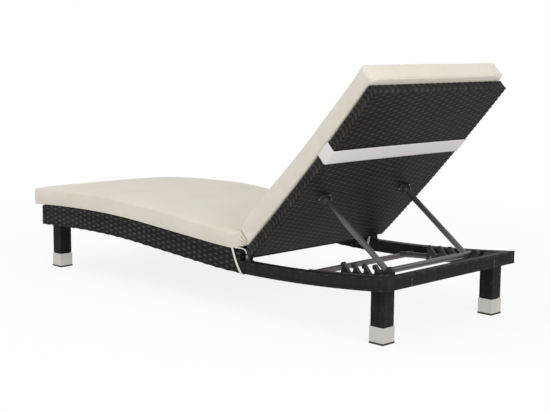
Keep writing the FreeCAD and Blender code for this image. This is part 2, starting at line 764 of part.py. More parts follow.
for side, sign in SIDES:
    middle = sign * stay_y
    plate_room = bracket_from, bracket_to, middle - bracket_reach, middle + bracket_reach
    solids = [slab(back, -plate_thickness, 0, *plate_room)]
    for step in (-1, 1):
        y_low, y_high = sorted((middle + step * cheek_near, middle + step * cheek_far))
        block = slab(back, -pivot_rise, -plate_thickness / 2, bracket_from, bracket_to, y_low, y_high)
        top = Part.makeCylinder(bracket_half, y_high - y_low, pivot_local + across * y_low, across)
        solids.append(block.fuse(top))
        shift = across * (middle + step * (cheek_far + size("stay_flange_width") / 2))
        head = rod(2 * bracket_screw, screw_top + shift, screw_foot + shift)
        bracket_screws.append(head.fuse(rod(bracket_screw, screw_foot + shift, screw_tip + shift)))
        bore_end = screw_tip + shift + screw_inward * gap
        screw_bores.append(rod(bracket_screw + 2 * gap, screw_top + shift, bore_end))
    bracket = solids[0].fuse(solids[1:])
    ends = [pivot_local + across * (middle + step * (cheek_far + gap)) for step in (-1, 1)]
    stay_bore = size("stay_pin_diameter") + 2 * size("running_gap")
    brackets.append(less(bracket, [rod(stay_bore, *ends)] + screw_bores))
    faces = [pivot_local + across * (middle + step * cheek_far) for step in (-1, 1)]
    caps = [
        rod(2 * size("stay_pin_diameter") - gap, face, face + across * step * size("stay_pin_head_height"))
        for face, step in zip(faces, (-1, 1))
    ]
    stay_pins.append(rod(size("stay_pin_diameter"), *faces).fuse(caps))
back_panel = slab(back, 0, skin, panel_from, panel_to, -inner_y, inner_y)
shaped("back_panel", less(back_panel, screw_bores), tilted)
shaped("back_cross_bar", less(cross_bar, screw_bores), tilted)
shaped("stay_brackets", Part.makeCompound(brackets), tilted)
shaped("bracket_screws", Part.makeCompound(bracket_screws), tilted)
shaped("stay_pins", Part.makeCompound(stay_pins), tilted)

# Prop stay: two round legs on a cross tube that lies in the racks' end notch
stay_along = (stay_foot - pivot).normalize()
cross_half = inner_y - size("stay_cross_inset")
stay_cross = rod(2 * stay_radius, stay_foot - across * cross_half, stay_foot + across * cross_half)
for side, sign in SIDES:
    top = pivot + across * sign * stay_y
    foot = stay_foot + across * sign * stay_y
    round_end = rod(2 * stay_radius, top - across * stay_radius, top + across * stay_radius)
    end = rod(2 * stay_radius, top - stay_along * stay_radius, top).common(round_end)
    leg = rod(2 * stay_radius, top, foot).fuse(end)
    hollow = rod(2 * (stay_radius - wall), top + stay_along * (stay_radius + wall), foot)
    pin_hole = rod(stay_bore, top - across * 2 * stay_radius, top + across * 2 * stay_radius)
    shaped(f"stay_leg_{side}", less(leg, [hollow, pin_hole, stay_cross]))
cross_start = stay_foot - across * cross_half
stay_cross_length = "frame_width - 2 * rail_width - 2 * stay_cross_inset"
round_tube("stay_cross_tube", "stay_tube_diameter", stay_cross_length, cross_start, across)
plugs = []
for _, sign in SIDES:
    end = stay_foot + across * sign * cross_half
    plugs.append(rod(2 * (stay_radius - wall - gap), end - across * sign * size("stay_plug_thickness"), end))
shaped("stay_end_plugs", Part.makeCompound(plugs))

# Pad: a seat cushion and a back cushion that part in a wedge at the hinge
pad_low = size("pad_gap")
bulge = size("pad_side_bulge")
pad_half = side_y - bulge


def cushion(curve, base, thick, starts, ends):
    """Cushion above a curve, lofted through crowned sections.

    The starts are the x of its underside's and its top's beginning, and the ends those of their far edges.
    """
    run_share = size("pad_end_run") / (ends[0] - starts[0])
    end_shares = (0, 1 / 6, 1 / 2, 1)

    def section(share, inset):
        foot = curve.at(starts[0] + share * (ends[0] - starts[0]), base - pad_low + inset)[0]
        top = curve.at(starts[1] + share * (ends[1] - starts[1]), base + thick - inset)[0]
        wave = math.sin(math.pi * share)
        half = pad_half - size("pad_waist") * wave - inset / 2
        edge = half - size("pad_side_pull")
        middle = (foot + top) / 2
        crown = top + (top - foot).normalize() * size("pad_crown") * (wave + 1) / 2
        corners = [foot - across * half, foot + across * half, top + across * edge, top - across * edge]
        bulges = [middle + across * (half + bulge), crown, middle - across * (half + bulge)]
        lines = [Part.LineSegment(corners[0], corners[1]).toShape()]
        lines += [Part.Arc(corners[i + 1], bulges[i], corners[(i + 2) % 4]).toShape() for i in range(3)]
        return Part.Wire(lines)

    def end_section(end_share, at_foot):
        depth = 1 - math.sqrt(1 - (1 - end_share) ** 2)
        share = end_share * run_share
        return section(share if at_foot else 1 - share, size("pad_end_taper") * depth)

    count = int(size("pad_section_count"))
    shares = [run_share + (1 - 2 * run_share) * step / count for step in range(count + 1)]
    solid = Part.makeLoft([section(share, 0) for share in shares], True, False)
    solid = solid.fuse([
        Part.makeLoft([end_section(end_share, at_foot) for end_share in end_shares], True, True)
        for at_foot in (True, False)
    ])
    y_reach = side_y + bulge
    return solid.common(
        slab(curve, base, base + 2 * thick, min(starts) - bulge, max(ends) + bulge, -y_reach, y_reach)
    )


seat_base = band_height + pad_low
seat_end = band_end_x - size("seat_pad_end_gap")
seat_starts = foot_x - size("pad_overhang"), foot_x - size("pad_overhang")
seat_ends = seat_end, seat_end - size("seat_pad_lean")
shaped("seat_cushion", cushion(frame, seat_base, size("seat_pad_thickness"), seat_starts, seat_ends))
back_end = back_to + size("back_pad_overhang")
back_starts = size("back_pad_start"), size("back_pad_start") + size("back_pad_lean")
back_pad = cushion(back, back_thick + pad_low, size("back_pad_thickness"), back_starts, (back_end, back_end))
shaped("back_cushion", back_pad, tilted)

# Elastic strap round the back and the sides of the backrest
strap_half = size("strap_width") / 2
strap_low = -gap - size("strap_thickness")
strap_y = side_y + gap
strap_outer_y = strap_y + size("strap_thickness")
strap_span = size("strap_place") - strap_half, size("strap_place") + strap_half


def strap_block(low, y_half, radius):
    """Block round the backrest whose two lower edges are rounded."""
    block = slab(back, low, back_thick, *strap_span, -y_half, y_half)
    lower = [
        edge for edge in block.Edges
        if edge.BoundBox.XLength > strap_half and edge.BoundBox.Center.z < back.at(size("strap_place"))[0].z
    ]
    return block.makeFillet(radius, lower)


strap_radius = size("backrest_edge_radius") + gap
outer = strap_block(strap_low, strap_outer_y, strap_radius + size("strap_thickness"))
shaped("back_strap", outer.cut(strap_block(-gap, strap_y, strap_radius)), tilted)

# Ties: a flat ribbon from the pad's edge down the band, under the rail and up its inner face
tie_thickness = size("tie_thickness")
tie_half = size("tie_width") / 2
tie_foot_x = band_end_x + size("tie_bottom_reach")
tie_top_x = band_end_x - size("tie_top_reach")
tie_low_z = size("dip_height") - gap - tie_thickness
tie_top_z = frame.at(tie_top_x, band_height)[0].z
tie_outer_y = side_y + gap + tie_thickness
tie_inner_y = inner_y - gap - tie_thickness
tie_from_x = tie_foot_x - tie_half
tie_turn = gap + tie_thickness


def tie_block(low_z, inset, radius):
    """Block round the band whose two lower edges are rounded, inset from the ribbon's outer face."""
    y_from, y_to = span(sign, tie_inner_y + inset, tie_outer_y - inset)
    x_from = tie_top_x - 2 * tie_half
    corner = Vector(x_from, y_from, low_z)
    block = Part.makeBox(tie_foot_x + 2 * tie_half - x_from, y_to - y_from, tie_top_z - low_z, corner)
    long_edges = [edge for edge in block.Edges if edge.BoundBox.XLength > tie_half]
    return block.makeFillet(radius, [edge for edge in long_edges if edge.BoundBox.ZMax < low_z + gap])


for side, sign in SIDES:
    core = tie_block(tie_low_z + tie_thickness, tie_thickness, gap)
    shell = tie_block(tie_low_z, 0, tie_turn).cut(core)
    outer_from, outer_to = span(sign, side_y, tie_outer_y)
    low_z = tie_low_z + tie_turn
    corners = [
        Vector(tie_foot_x - tie_half, outer_from, low_z), Vector(tie_foot_x + tie_half, outer_from, low_z),
        Vector(tie_top_x + tie_half, outer_from, tie_top_z), Vector(tie_top_x - tie_half, outer_from, tie_top_z)
    ]
    slant = Part.Face(Part.makePolygon(corners + corners[:1])).extrude(across * (outer_to - outer_from))
    y_from, y_to = span(sign, tie_inner_y, tie_outer_y)
    turn = Part.makeBox(2 * tie_half, y_to - y_from, tie_turn, Vector(tie_from_x, y_from, tie_low_z))
    y_from, y_to = span(sign, tie_inner_y, inner_y)
    tail_corner = Vector(tie_from_x, y_from, tie_low_z)
    tail = Part.makeBox(2 * tie_half, y_to - y_from, size("tie_tail_height"), tail_corner)
    strip = slant.fuse([turn, tail]).common(shell)
    shaped(f"tie_{side}", strip.removeSplitter())

# Checks before anything is written
doc.recompute()
for thing in doc.Objects:
    bad = [state for state in thing.State if state in ("Invalid", "Error")]
    if bad:
        raise RuntimeError(f"{thing.Name}: {bad}")
for thing in pieces:
    if thing.Shape.isNull() or not thing.Shape.isValid() or not thing.Shape.Solids:
        raise RuntimeError(f"{thing.Label}: its shape is not a valid solid")

os.makedirs("parts", exist_ok=True)
for thing in pieces:
    thing.Shape.exportStep(f"parts/{thing.Label}.step")
print(len(pieces), "sub-parts, tilt", round(math.degrees(tilt), 3))
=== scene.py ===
import bpy
import numpy as np
from mathutils import Matrix, Vector


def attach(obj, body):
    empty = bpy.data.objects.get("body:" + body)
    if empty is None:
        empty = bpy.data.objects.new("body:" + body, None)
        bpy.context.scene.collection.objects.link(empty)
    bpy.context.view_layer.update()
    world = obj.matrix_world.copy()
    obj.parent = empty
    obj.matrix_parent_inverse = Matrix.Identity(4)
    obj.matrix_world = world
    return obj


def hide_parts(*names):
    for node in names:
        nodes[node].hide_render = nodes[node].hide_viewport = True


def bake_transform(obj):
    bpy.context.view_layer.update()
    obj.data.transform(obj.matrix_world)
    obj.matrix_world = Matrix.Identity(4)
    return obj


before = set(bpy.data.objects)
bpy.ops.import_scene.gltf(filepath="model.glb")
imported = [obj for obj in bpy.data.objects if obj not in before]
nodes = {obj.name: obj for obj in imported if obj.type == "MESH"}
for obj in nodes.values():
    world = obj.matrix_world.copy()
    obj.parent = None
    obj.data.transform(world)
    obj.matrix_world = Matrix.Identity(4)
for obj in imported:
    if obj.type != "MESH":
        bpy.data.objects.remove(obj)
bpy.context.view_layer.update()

# Studio: a white paper sweep under soft ceiling light, seen from beyond the head end, a metre above
# the floor. The paper shows as plain white and keeps the lounger's shadow.
CAMERA_PLACE = (3.4212, -3.3384, 1.0282)
CAMERA_TURN, CAMERA_PITCH, CAMERA_ROLL = np.radians([134.638, -8.186, 0.508])
SENSOR_MM, FOCAL_PIXELS, PICTURE_PIXELS = 36, 1164.593, 550
ahead = Vector((
    np.cos(CAMERA_PITCH) * np.cos(CAMERA_TURN),
    np.cos(CAMERA_PITCH) * np.sin(CAMERA_TURN),
    np.sin(CAMERA_PITCH)
))
level = ahead.cross(Vector((0, 0, 1))).normalized()
upward = level.cross(ahead)
right = level * np.cos(CAMERA_ROLL) + upward * np.sin(CAMERA_ROLL)
upward = right.cross(ahead)
lens = bpy.data.cameras.new("studio_camera")
lens.sensor_width = SENSOR_MM
lens.lens = SENSOR_MM * FOCAL_PIXELS / PICTURE_PIXELS
camera = bpy.data.objects.new("studio_camera", lens)
turned = Matrix((right, upward, -ahead)).transposed().to_4x4()
camera.matrix_world = Matrix.Translation(CAMERA_PLACE) @ turned
bpy.context.scene.collection.objects.link(camera)
bpy.context.scene.camera = camera
bpy.context.scene.view_settings.view_transform = "Standard"


def colour(code):
    """Linear colour of an sRGB hex code.

    Each channel c becomes c / 12.92 up to 0.04045, and ((c + 0.055) / 1.055) ** 2.4 above that.
    """
    channels = [int(code[i:i + 2], 16) / 255 for i in (1, 3, 5)]
    return (*[c / 12.92 if c <= 0.04045 else ((c + 0.055) / 1.055) ** 2.4 for c in channels], 1)


def add(tree, kind, inputs=(), into=None, **settings):
    """A new node with its settings, and its inputs set to a value or linked from a socket.

    Its first output is linked into the socket that is given for it, if there is one.
    """
    made = tree.nodes.new(kind)
    for name, value in settings.items():
        setattr(made, name, value)
    for name, value in dict(inputs).items():
        if isinstance(value, bpy.types.NodeSocket):
            tree.links.new(value, made.inputs[name])
        else:
            made.inputs[name].default_value = value
    if into is not None:
        tree.links.new(made.outputs[0], into)
    return made


def finish(name, code, **constants):
    """A new material of one base colour, its node tree, and its surface shader with the constants set."""
    material = bpy.data.materials.new(name)
    material.use_nodes = True
    shader = material.node_tree.nodes["Principled BSDF"]
    shader.inputs["Base Color"].default_value = colour(code)
    for socket, value in constants.items():
        shader.inputs[socket.replace("_", " ")].default_value = value
    return material, material.node_tree, shader


def mesh_piece(name, points, faces, material, **marks):
    """A smooth mesh object from points in mm and rows of corner numbers. A mark holds a number per point."""
    mesh = bpy.data.meshes.new(name)
    mesh.from_pydata((points / 1000).tolist(), [], faces.tolist() if hasattr(faces, "tolist") else faces)
    for mark, values in marks.items():
        stored = mesh.attributes.new(mark, "FLOAT", "POINT")
        stored.data.foreach_set("value", values.astype(np.float32))
    mesh.materials.append(material)
    mesh.shade_smooth()
    made = bpy.data.objects.new(name, mesh)
    bpy.context.scene.collection.objects.link(made)
    return made


def in_view(tree):
    """A socket that is 1 where the surface is seen: by the camera, in a reflection or through glass."""
    path = add(tree, "ShaderNodeLightPath")
    plainly = {0: path.outputs["Is Camera Ray"], 1: path.outputs["Is Glossy Ray"]}
    seen = add(tree, "ShaderNodeMath", plainly, operation="MAXIMUM")
    either = {0: seen.outputs[0], 1: path.outputs["Is Transmission Ray"]}
    return add(tree, "ShaderNodeMath", either, operation="MAXIMUM").outputs[0]


# Matt white background paper: light scatters evenly, and in plain view it glows, the more so the
# further it lies from the lounger, so that it runs into the white air with no horizon
FLOOR_HALF = 9000.0
GLOW_FROM_M, GLOW_TO_M, GLOW_NEAR = 1.2, 3.6, 0.86
paper, tree, shader = finish("background_paper", "#FCFCFC", Roughness=1.0)
place = add(tree, "ShaderNodeTexCoord").outputs["Object"]
away = add(tree, "ShaderNodeVectorMath", {0: place}, operation="LENGTH")
fade = add(tree, "ShaderNodeMapRange", {
    "Value": away.outputs["Value"], "From Min": GLOW_FROM_M, "From Max": GLOW_TO_M,
    "To Min": GLOW_NEAR, "To Max": 1.0
}, interpolation_type="SMOOTHSTEP")
share = add(tree, "ShaderNodeMath", {0: in_view(tree), 1: fade.outputs[0]}, operation="MULTIPLY")
glow = add(tree, "ShaderNodeEmission", {"Color": (1, 1, 1, 1), "Strength": 1.0})
add(tree, "ShaderNodeMixShader", {
    0: share.outputs[0], 1: shader.outputs[0], 2: glow.outputs[0]
}, into=tree.nodes["Material Output"].inputs["Surface"])
corners = np.array([[-1, -1, 0], [1, -1, 0], [1, 1, 0], [-1, 1, 0]]) * FLOOR_HALF
floor = mesh_piece("floor", corners, [[0, 1, 2, 3]], paper)

# Studio air: plain white wherever it is seen, and a weaker soft light from all round. Two square
# lamps, one at the ceiling and one beyond the head end, give the light its direction.
AIR_LIGHT = 0.62
LAMPS_AIM_M = Vector((0, 0, 0.4))
world = bpy.data.worlds.new("studio_air")
bpy.context.scene.world = world
world.use_nodes = True
air = world.node_tree
sky = air.nodes["Background"]
sky.inputs["Color"].default_value = (1, 1, 1, 1)
add(air, "ShaderNodeMapRange", {
    "Value": in_view(air), "To Min": AIR_LIGHT, "To Max": 1.0
}, into=sky.inputs["Strength"])
for name, place, size_m, watts in (
    ("ceiling_light", (-1.4, -2.1, 3.8), 3.0, 52),
    ("head_light", (3.4, -0.9, 2.3), 2.2, 48),
):
    light = bpy.data.lights.new(name, "AREA")
    light.size = size_m
    light.energy = watts
    lamp = bpy.data.objects.new(name, light)
    aim = (Vector(place) - LAMPS_AIM_M).to_track_quat("Z", "Y")
    lamp.matrix_world = Matrix.Translation(place) @ aim.to_matrix().to_4x4()
    bpy.context.scene.collection.objects.link(lamp)

# Woven side bands: flat extruded strands woven round the bent tubes of each side, deep from the
# foot end to the hinge and low from there to the head end. Two tubes carry the deep part.
SIDES = (("left", -1), ("right", 1))
HEAD_X, FOOT_X, BAND_END_X = 1025.0, -975.0, 325.0
SIDE_Y, RAIL_WIDTH, BAND_HEIGHT, RAIL_HEIGHT = 382.0, 40.0, 90.0, 50.0
INNER_Y, TUCK = SIDE_Y - RAIL_WIDTH, 6.0

# The curve of the underside, by its arcs' radii, its slope and the lowest point of its dip
FOOT_ARC, KNEE_ARC, DIP_ARC, HEAD_ARC = 6500.0, 4200.0, 2600.0, 6400.0
SLOPE, SLOPE_LENGTH, DIP_X, DIP_Z = np.radians(4), 420.0, 319.0, 155.0
FALL_X = DIP_X - DIP_ARC * np.sin(SLOPE)
FALL_Z = DIP_Z + DIP_ARC * (1 - np.cos(SLOPE))
KNEE_X = FALL_X - SLOPE_LENGTH * np.cos(SLOPE) - KNEE_ARC * np.sin(SLOPE)
KNEE_Z = FALL_Z + SLOPE_LENGTH * np.sin(SLOPE) + KNEE_ARC * (1 - np.cos(SLOPE))

# The weave: its pitches in mm, a pitch in half widths of its strand or stake, how high stakes and
# wound turns stand and how far a turn falls at its sides, as shares of the highest crown
STAKE_PITCH, STRAND_WIDTH = 31.0, 10.0
HALF_STRANDS, HALF_STAKES = 1.96, 3.6
STAKE_CROWN, TURN_CROWN, WIDE_GAP, NARROW_GAP = 0.42, 0.42, 0.3, 0.1
LACE_EVERY, SECOND_LACE = 9, 4
BAND_STAKES, RAIL_TURNS = 42, 69
BAND_STRANDS, RAIL_STRANDS = (4, 9), (4, 5)
BAND_RELIEF, RAIL_RELIEF, BAR_ROUND = 2.6, 2.2, 3.0

# Where each step of a weave is sampled, and the share of a side that still counts as its edge
THIRDS, QUARTERS, SIXTHS = (0, 0.33, 0.67), (0, 0.25, 0.5, 0.75), (0, 0.16, 0.33, 0.5, 0.67, 0.84)
HAIR = 1e-6


def frame_height(x, rise):
    """Height of the line that lies the rise above the frame's underside, at x, all in mm.

    The underside is an arc over the foot, a tighter one over the knees, a straight slope, and two arcs that
    meet in the dip's lowest point. A line above an arc is a circle about the same centre.
    """
    foot = KNEE_Z - FOOT_ARC + np.sqrt((FOOT_ARC + rise) ** 2 - (x - KNEE_X) ** 2)
    knee = KNEE_Z - KNEE_ARC + np.sqrt((KNEE_ARC + rise) ** 2 - (x - KNEE_X) ** 2)
    fall = FALL_Z + rise / np.cos(SLOPE) - (x - FALL_X) * np.tan(SLOPE)
    dip = DIP_Z + DIP_ARC - np.sqrt((DIP_ARC - rise) ** 2 - (x - DIP_X) ** 2)
    head = DIP_Z + HEAD_ARC - np.sqrt((HEAD_ARC - rise) ** 2 - (x - DIP_X) ** 2)
    slope_from = KNEE_X + (KNEE_ARC + rise) * np.sin(SLOPE)
    slope_to = DIP_X - (DIP_ARC - rise) * np.sin(SLOPE)
    before = [x < KNEE_X, x < slope_from, x < slope_to, x < DIP_X]
    return np.select(before, [foot, knee, fall, dip], head)


def quads(number):
    """Rows of the four corners between neighbours on a grid of point numbers."""
    return np.stack([number[:-1, :-1], number[1:, :-1], number[1:, 1:], number[:-1, 1:]], -1).reshape(-1, 4)


def block_skin(*samples):
    """The outside of a block of sample points: the points on its six sides, each once, and its quads.

    Corners run so that the normals point outwards: where one axis ends, the other two follow it in turn.
    """
    sizes = tuple(len(values) for values in samples)
    sides = []
    for axis in range(3):
        u, v = (axis + 1) % 3, (axis + 2) % 3
        for end in (0, sizes[axis] - 1):
            index = [None] * 3
            index[axis] = np.array(end)
            index[u], index[v] = np.meshgrid(np.arange(sizes[u]), np.arange(sizes[v]), indexing="ij")
            key = np.ravel_multi_index(np.broadcast_arrays(*index), sizes)
            sides.append(quads(key) if end else quads(key)[:, ::-1])
    keys, faces = np.unique(np.concatenate(sides), return_inverse=True)
    index = np.unravel_index(keys, sizes)
    points = np.stack([np.asarray(values)[i] for values, i in zip(samples, index)], -1)
    return points, faces.reshape(-1, 4)


def rounded(points, low, high, radius, sunk):
    """Points of a block's sides moved onto its rounded form and sunk into it.

    Each goes to the nearest point of the core, which is the block less the radius all round, and from there
    outwards by the radius less its own depth.
    """
    core = np.clip(points, np.array(low) + radius, np.array(high) - radius)
    way = points - core
    way /= np.linalg.norm(way, axis=1, keepdims=True)
    return core + way * (radius - sunk)[:, None]


def half_round(away):
    """Height, 0 to 1, of a half-round section, away from its middle in half widths: a half circle."""
    return np.sqrt(np.clip(1 - away ** 2, 0, 1))


def plain_weave(along, across):
    """Depth below the crowns, 0 to 1, of a plain weave, along in stakes and across in strands.

    A strand's height is the cosine that takes it over one stake and behind the next, the neighbour half a
    wave later, times its half-round section. Where it dips, the stake's lower section shows.
    """
    strand = np.round(across)
    over = (0.4 + 0.6 * np.cos(np.pi * (along + strand))) * half_round(HALF_STRANDS * (across - strand))
    stake = STAKE_CROWN * half_round(HALF_STAKES * (along - np.round(along)))
    return 1 - np.clip(np.maximum(over, stake), 0, 1)


def laced_wrap(along, across):
    """Depth below the crowns, 0 to 1, of turns wound side by side, along in turns and across in strands.

    A turn's height falls from its middle with the fourth power of the distance, less at its sides than at
    the wider gap after every third turn. On each face's first and last strand a lace, a half-round section
    on a cosine, goes over three turns and under the next three.
    """
    turn, row = np.round(along), np.round(across)
    offset = 2 * (along - turn)
    wide_gap = ((turn % 3 == 0) & (offset < 0)) | ((turn % 3 == 2) & (offset > 0))
    wrap = TURN_CROWN - np.where(wide_gap, WIDE_GAP, NARROW_GAP) * offset ** 4
    laced = (row % LACE_EVERY == 0) | (row % LACE_EVERY == SECOND_LACE)
    wave = 0.4 + 0.4 * np.cos(np.pi * (along / 3 + row))
    lace = np.where(laced, wave * half_round(HALF_STRANDS * (across - row)), 0)
    return 1 - np.clip(np.maximum(wrap, lace), 0, 1)


def strand_tint(number):
    """A repeatable number from 0 to 1 for each strand: the fraction of a large sine."""
    return np.mod(np.sin(number * 12.9898 + 4.1) * 43758.5453, 1)


def steps(start, end, count, parts=QUARTERS):
    """Sample places from start to end, with the same parts of each of the count steps."""
    inner = (np.arange(count)[:, None] + np.array(parts)).ravel()
    return start + (end - start) * np.append(inner, count) / count


def girth(s, t, s_count, t_count):
    """Strands counted round a block's four long sides, from the corner where the shares s and t are 0.

    The count rises evenly up t, along s, down t and back along s.
    """
    up = t * t_count
    over = t_count + s * s_count
    down = t_count + s_count + (1 - t) * t_count
    back = 2 * t_count + s_count + (1 - s) * s_count
    return np.select([s < HAIR, t > 1 - HAIR, s > 1 - HAIR], [up, over, down], back)


def set_stops(ramp, *stops):
    """Gives a colour ramp its stops, each a place from 0 to 1 and a hex code. Two are there already."""
    held = ramp.color_ramp.elements
    for number, (place, code) in enumerate(stops):
        stop = held[number] if number < 2 else held.new(place)
        stop.position, stop.color = place, colour(code)


# Polyethylene rattan, extruded and woven: brown-black and dull, each strand a little lighter or
# darker, with drawn-out streaks. Each strand's crown is paler with a painted highlight, and painted
# shade darkens it where strands dive behind. Its real streaks are under 1 mm wide, and are drawn at
# 3 mm so that they show.
rattan, tree, shader = finish(
    "woven_polyethylene_strand", "#262221", Roughness=0.5, IOR=1.52, Specular_IOR_Level=0.07
)
depth = add(tree, "ShaderNodeAttribute", attribute_name="depth")
tint = add(tree, "ShaderNodeAttribute", attribute_name="tint")
place = add(tree, "ShaderNodeTexCoord").outputs["Object"]
streak = add(tree, "ShaderNodeTexNoise", {
    "Vector": place, "Scale": 330.0, "Detail": 3.0, "Roughness": 0.6
})
cloud = add(tree, "ShaderNodeTexNoise", {"Vector": place, "Scale": 9.0, "Detail": 2.0})
# Painted highlight and painted shade: the strand's colour runs from dark in its recesses to pale on its
# crown, by its depth
raised = add(tree, "ShaderNodeMath", {0: 1.0, 1: depth.outputs["Fac"]}, operation="SUBTRACT")
strand = add(tree, "ShaderNodeValToRGB", {"Fac": raised.outputs[0]})
set_stops(strand, (0.0, "#121110"), (0.38, "#22201E"), (0.8, "#33302E"), (0.97, "#534E4B"))
toned = add(tree, "ShaderNodeMath", {0: tint.outputs["Fac"], 1: streak.outputs["Fac"]}, operation="ADD")
toned = add(tree, "ShaderNodeMath", {0: toned.outputs[0], 1: cloud.outputs["Fac"]}, operation="ADD")
varied = add(tree, "ShaderNodeMapRange", {
    "Value": toned.outputs[0], "From Min": 0.6, "From Max": 2.4, "To Min": 0.55, "To Max": 1.55
})
shaded = add(tree, "ShaderNodeMix", {
    "Factor": 1.0, 6: strand.outputs["Color"], 7: varied.outputs[0]
}, data_type="RGBA", blend_type="MULTIPLY")
tree.links.new(shaded.outputs[2], shader.inputs["Base Color"])
add(tree, "ShaderNodeMapRange", {
    "Value": streak.outputs["Fac"], "To Min": 0.4, "To Max": 0.62
}, into=shader.inputs["Roughness"])
add(tree, "ShaderNodeBump", {
    "Height": streak.outputs["Fac"], "Strength": 0.25, "Distance": 0.0006
}, into=shader.inputs["Normal"])


def woven_bar(name, low, high, axis, counts, relief, replaced, place_at, weave=plain_weave):
    """A woven bar: a block from low to high in mm (x, y, rise), woven or wound round the axis, then placed.

    The counts are the stakes or turns along it and the strands across its two other sides, and the weave
    sinks by the relief. A cap at either end carries on the pattern of the outer side.
    """
    u, v = [k for k in range(3) if k != axis]
    samples = [None] * 3
    samples[axis] = steps(low[axis], high[axis], counts[0], SIXTHS if weave is plain_weave else QUARTERS)
    samples[u] = steps(low[u], high[u], counts[1])
    samples[v] = steps(low[v], high[v], counts[2])
    points, faces = block_skin(*samples)
    share, s, t = [(points[:, k] - low[k]) / (high[k] - low[k]) for k in (axis, u, v)]
    on_cap = ((share < HAIR) | (share > 1 - HAIR)) & (s > HAIR) & (s < 1 - HAIR)
    stakes = share * counts[0] + np.where(on_cap, s * (high[u] - low[u]) / STAKE_PITCH, 0)
    strands = np.where(on_cap, t * counts[2], girth(s, t, counts[1], counts[2])) - 0.5
    sunk = weave(stakes - 0.5, strands)
    formed = rounded(points, low, high, BAR_ROUND, sunk * relief)
    made = mesh_piece(name, place_at(formed), faces, rattan, depth=sunk, tint=strand_tint(np.round(strands)))
    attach(made, "frame")
    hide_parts(replaced)


def on_frame(points):
    """Block points (x, y, rise) laid over the frame's curved underside."""
    return np.stack([points[:, 0], points[:, 1], frame_height(points[:, 0], points[:, 2])], -1)


for side, sign in SIDES:
    y_low, y_high = sorted((sign * INNER_Y, sign * SIDE_Y))
    woven_bar(
        f"woven_side_band_{side}", (FOOT_X, y_low, 0), (BAND_END_X, y_high, BAND_HEIGHT), 0,
        (BAND_STAKES, *BAND_STRANDS), BAND_RELIEF, f"seat_side_band_{side}", on_frame
    )
    woven_bar(
        f"woven_low_rail_{side}", (BAND_END_X - TUCK, y_low, 0), (HEAD_X, y_high, RAIL_HEIGHT), 0,
        (RAIL_TURNS, *RAIL_STRANDS), RAIL_RELIEF, f"head_side_rail_{side}", on_frame, laced_wrap
    )

# Foot band, head rail and seat end rail: the same strands on the cross tubes. The foot band is woven
# like the sides, and the two rails are close-wound with a lace. Their ends run into the sides' weave.
CROSS_STAKES, CROSS_TURNS = 22, 66
SEAT_END_LOW, SEAT_END_STRANDS = 50, (4, 4)
woven_bar(
    "woven_foot_band", (FOOT_X, -INNER_Y - TUCK, 0), (FOOT_X + RAIL_WIDTH, INNER_Y + TUCK, BAND_HEIGHT), 1,
    (CROSS_STAKES, *BAND_STRANDS), BAND_RELIEF, "foot_band", on_frame
)
woven_bar(
    "woven_head_rail", (HEAD_X - RAIL_WIDTH, -INNER_Y - TUCK, 0), (HEAD_X, INNER_Y + TUCK, RAIL_HEIGHT), 1,
    (CROSS_TURNS, *RAIL_STRANDS), RAIL_RELIEF, "head_rail", on_frame, laced_wrap
)
woven_bar(
    "woven_seat_end_rail", (BAND_END_X - RAIL_WIDTH, -INNER_Y, SEAT_END_LOW),
    (BAND_END_X, INNER_Y, BAND_HEIGHT), 1,
    (CROSS_TURNS, *SEAT_END_STRANDS), RAIL_RELIEF, "seat_end_rail", on_frame, laced_wrap
)

# Seat deck: a woven mat of the same strands under the pad, stretched from band to band and carried
# by three round tubes
DECK_LOW, DECK_HIGH, DECK_ROUND, DECK_RELIEF = 82.0, 88.0, 2.9, 2
DECK_STAKES, DECK_STRANDS = 40, 68
low, high = (FOOT_X + RAIL_WIDTH, -INNER_Y, DECK_LOW), (BAND_END_X - RAIL_WIDTH, INNER_Y, DECK_HIGH)
points, faces = block_skin(
    steps(low[0], high[0], DECK_STAKES), steps(low[1], high[1], DECK_STRANDS, THIRDS), [DECK_LOW, DECK_HIGH]
)
along = (points[:, 0] - low[0]) / (high[0] - low[0]) * DECK_STAKES
across = (points[:, 1] - low[1]) / (high[1] - low[1]) * DECK_STRANDS
sunk = plain_weave(along - 0.5, across - 0.5)
deck = mesh_piece(
    "woven_seat_deck", on_frame(rounded(points, low, high, DECK_ROUND, sunk * DECK_RELIEF)), faces, rattan,
    depth=sunk, tint=strand_tint(np.round(across - 0.5))
)
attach(deck, "frame")
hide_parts("seat_deck")

# Frame tubes: welded aluminium, powder coated dark grey. The coat is satin, with a fine orange peel
# that is 1 mm in truth and drawn at 2 mm.
coated, tree, shader = finish("dark_powder_coat", "#5C5856", Roughness=0.42, Metallic=0.25)
place = add(tree, "ShaderNodeTexCoord").outputs["Object"]
peel = add(tree, "ShaderNodeTexNoise", {"Vector": place, "Scale": 500.0, "Detail": 2.0})
dull = add(tree, "ShaderNodeTexNoise", {"Vector": place, "Scale": 14.0, "Detail": 4.0})
add(tree, "ShaderNodeMapRange", {
    "Value": dull.outputs["Fac"], "To Min": 0.34, "To Max": 0.5
}, into=shader.inputs["Roughness"])
add(tree, "ShaderNodeBump", {
    "Height": peel.outputs["Fac"], "Strength": 0.12, "Distance": 0.0003
}, into=shader.inputs["Normal"])


def dress(material, *names):
    """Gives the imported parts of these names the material."""
    for name in names:
        for held in nodes[name].material_slots:
            held.material = material


dress(
    coated, "lower_side_tube_left", "lower_side_tube_right", "upper_side_tube_left", "upper_side_tube_right",
    "foot_tubes", "head_tube", "seat_end_tube", "seat_cross_tubes", "leg_tubes", "inner_cross_tube",
    "rack_bar_left", "rack_bar_right"
)

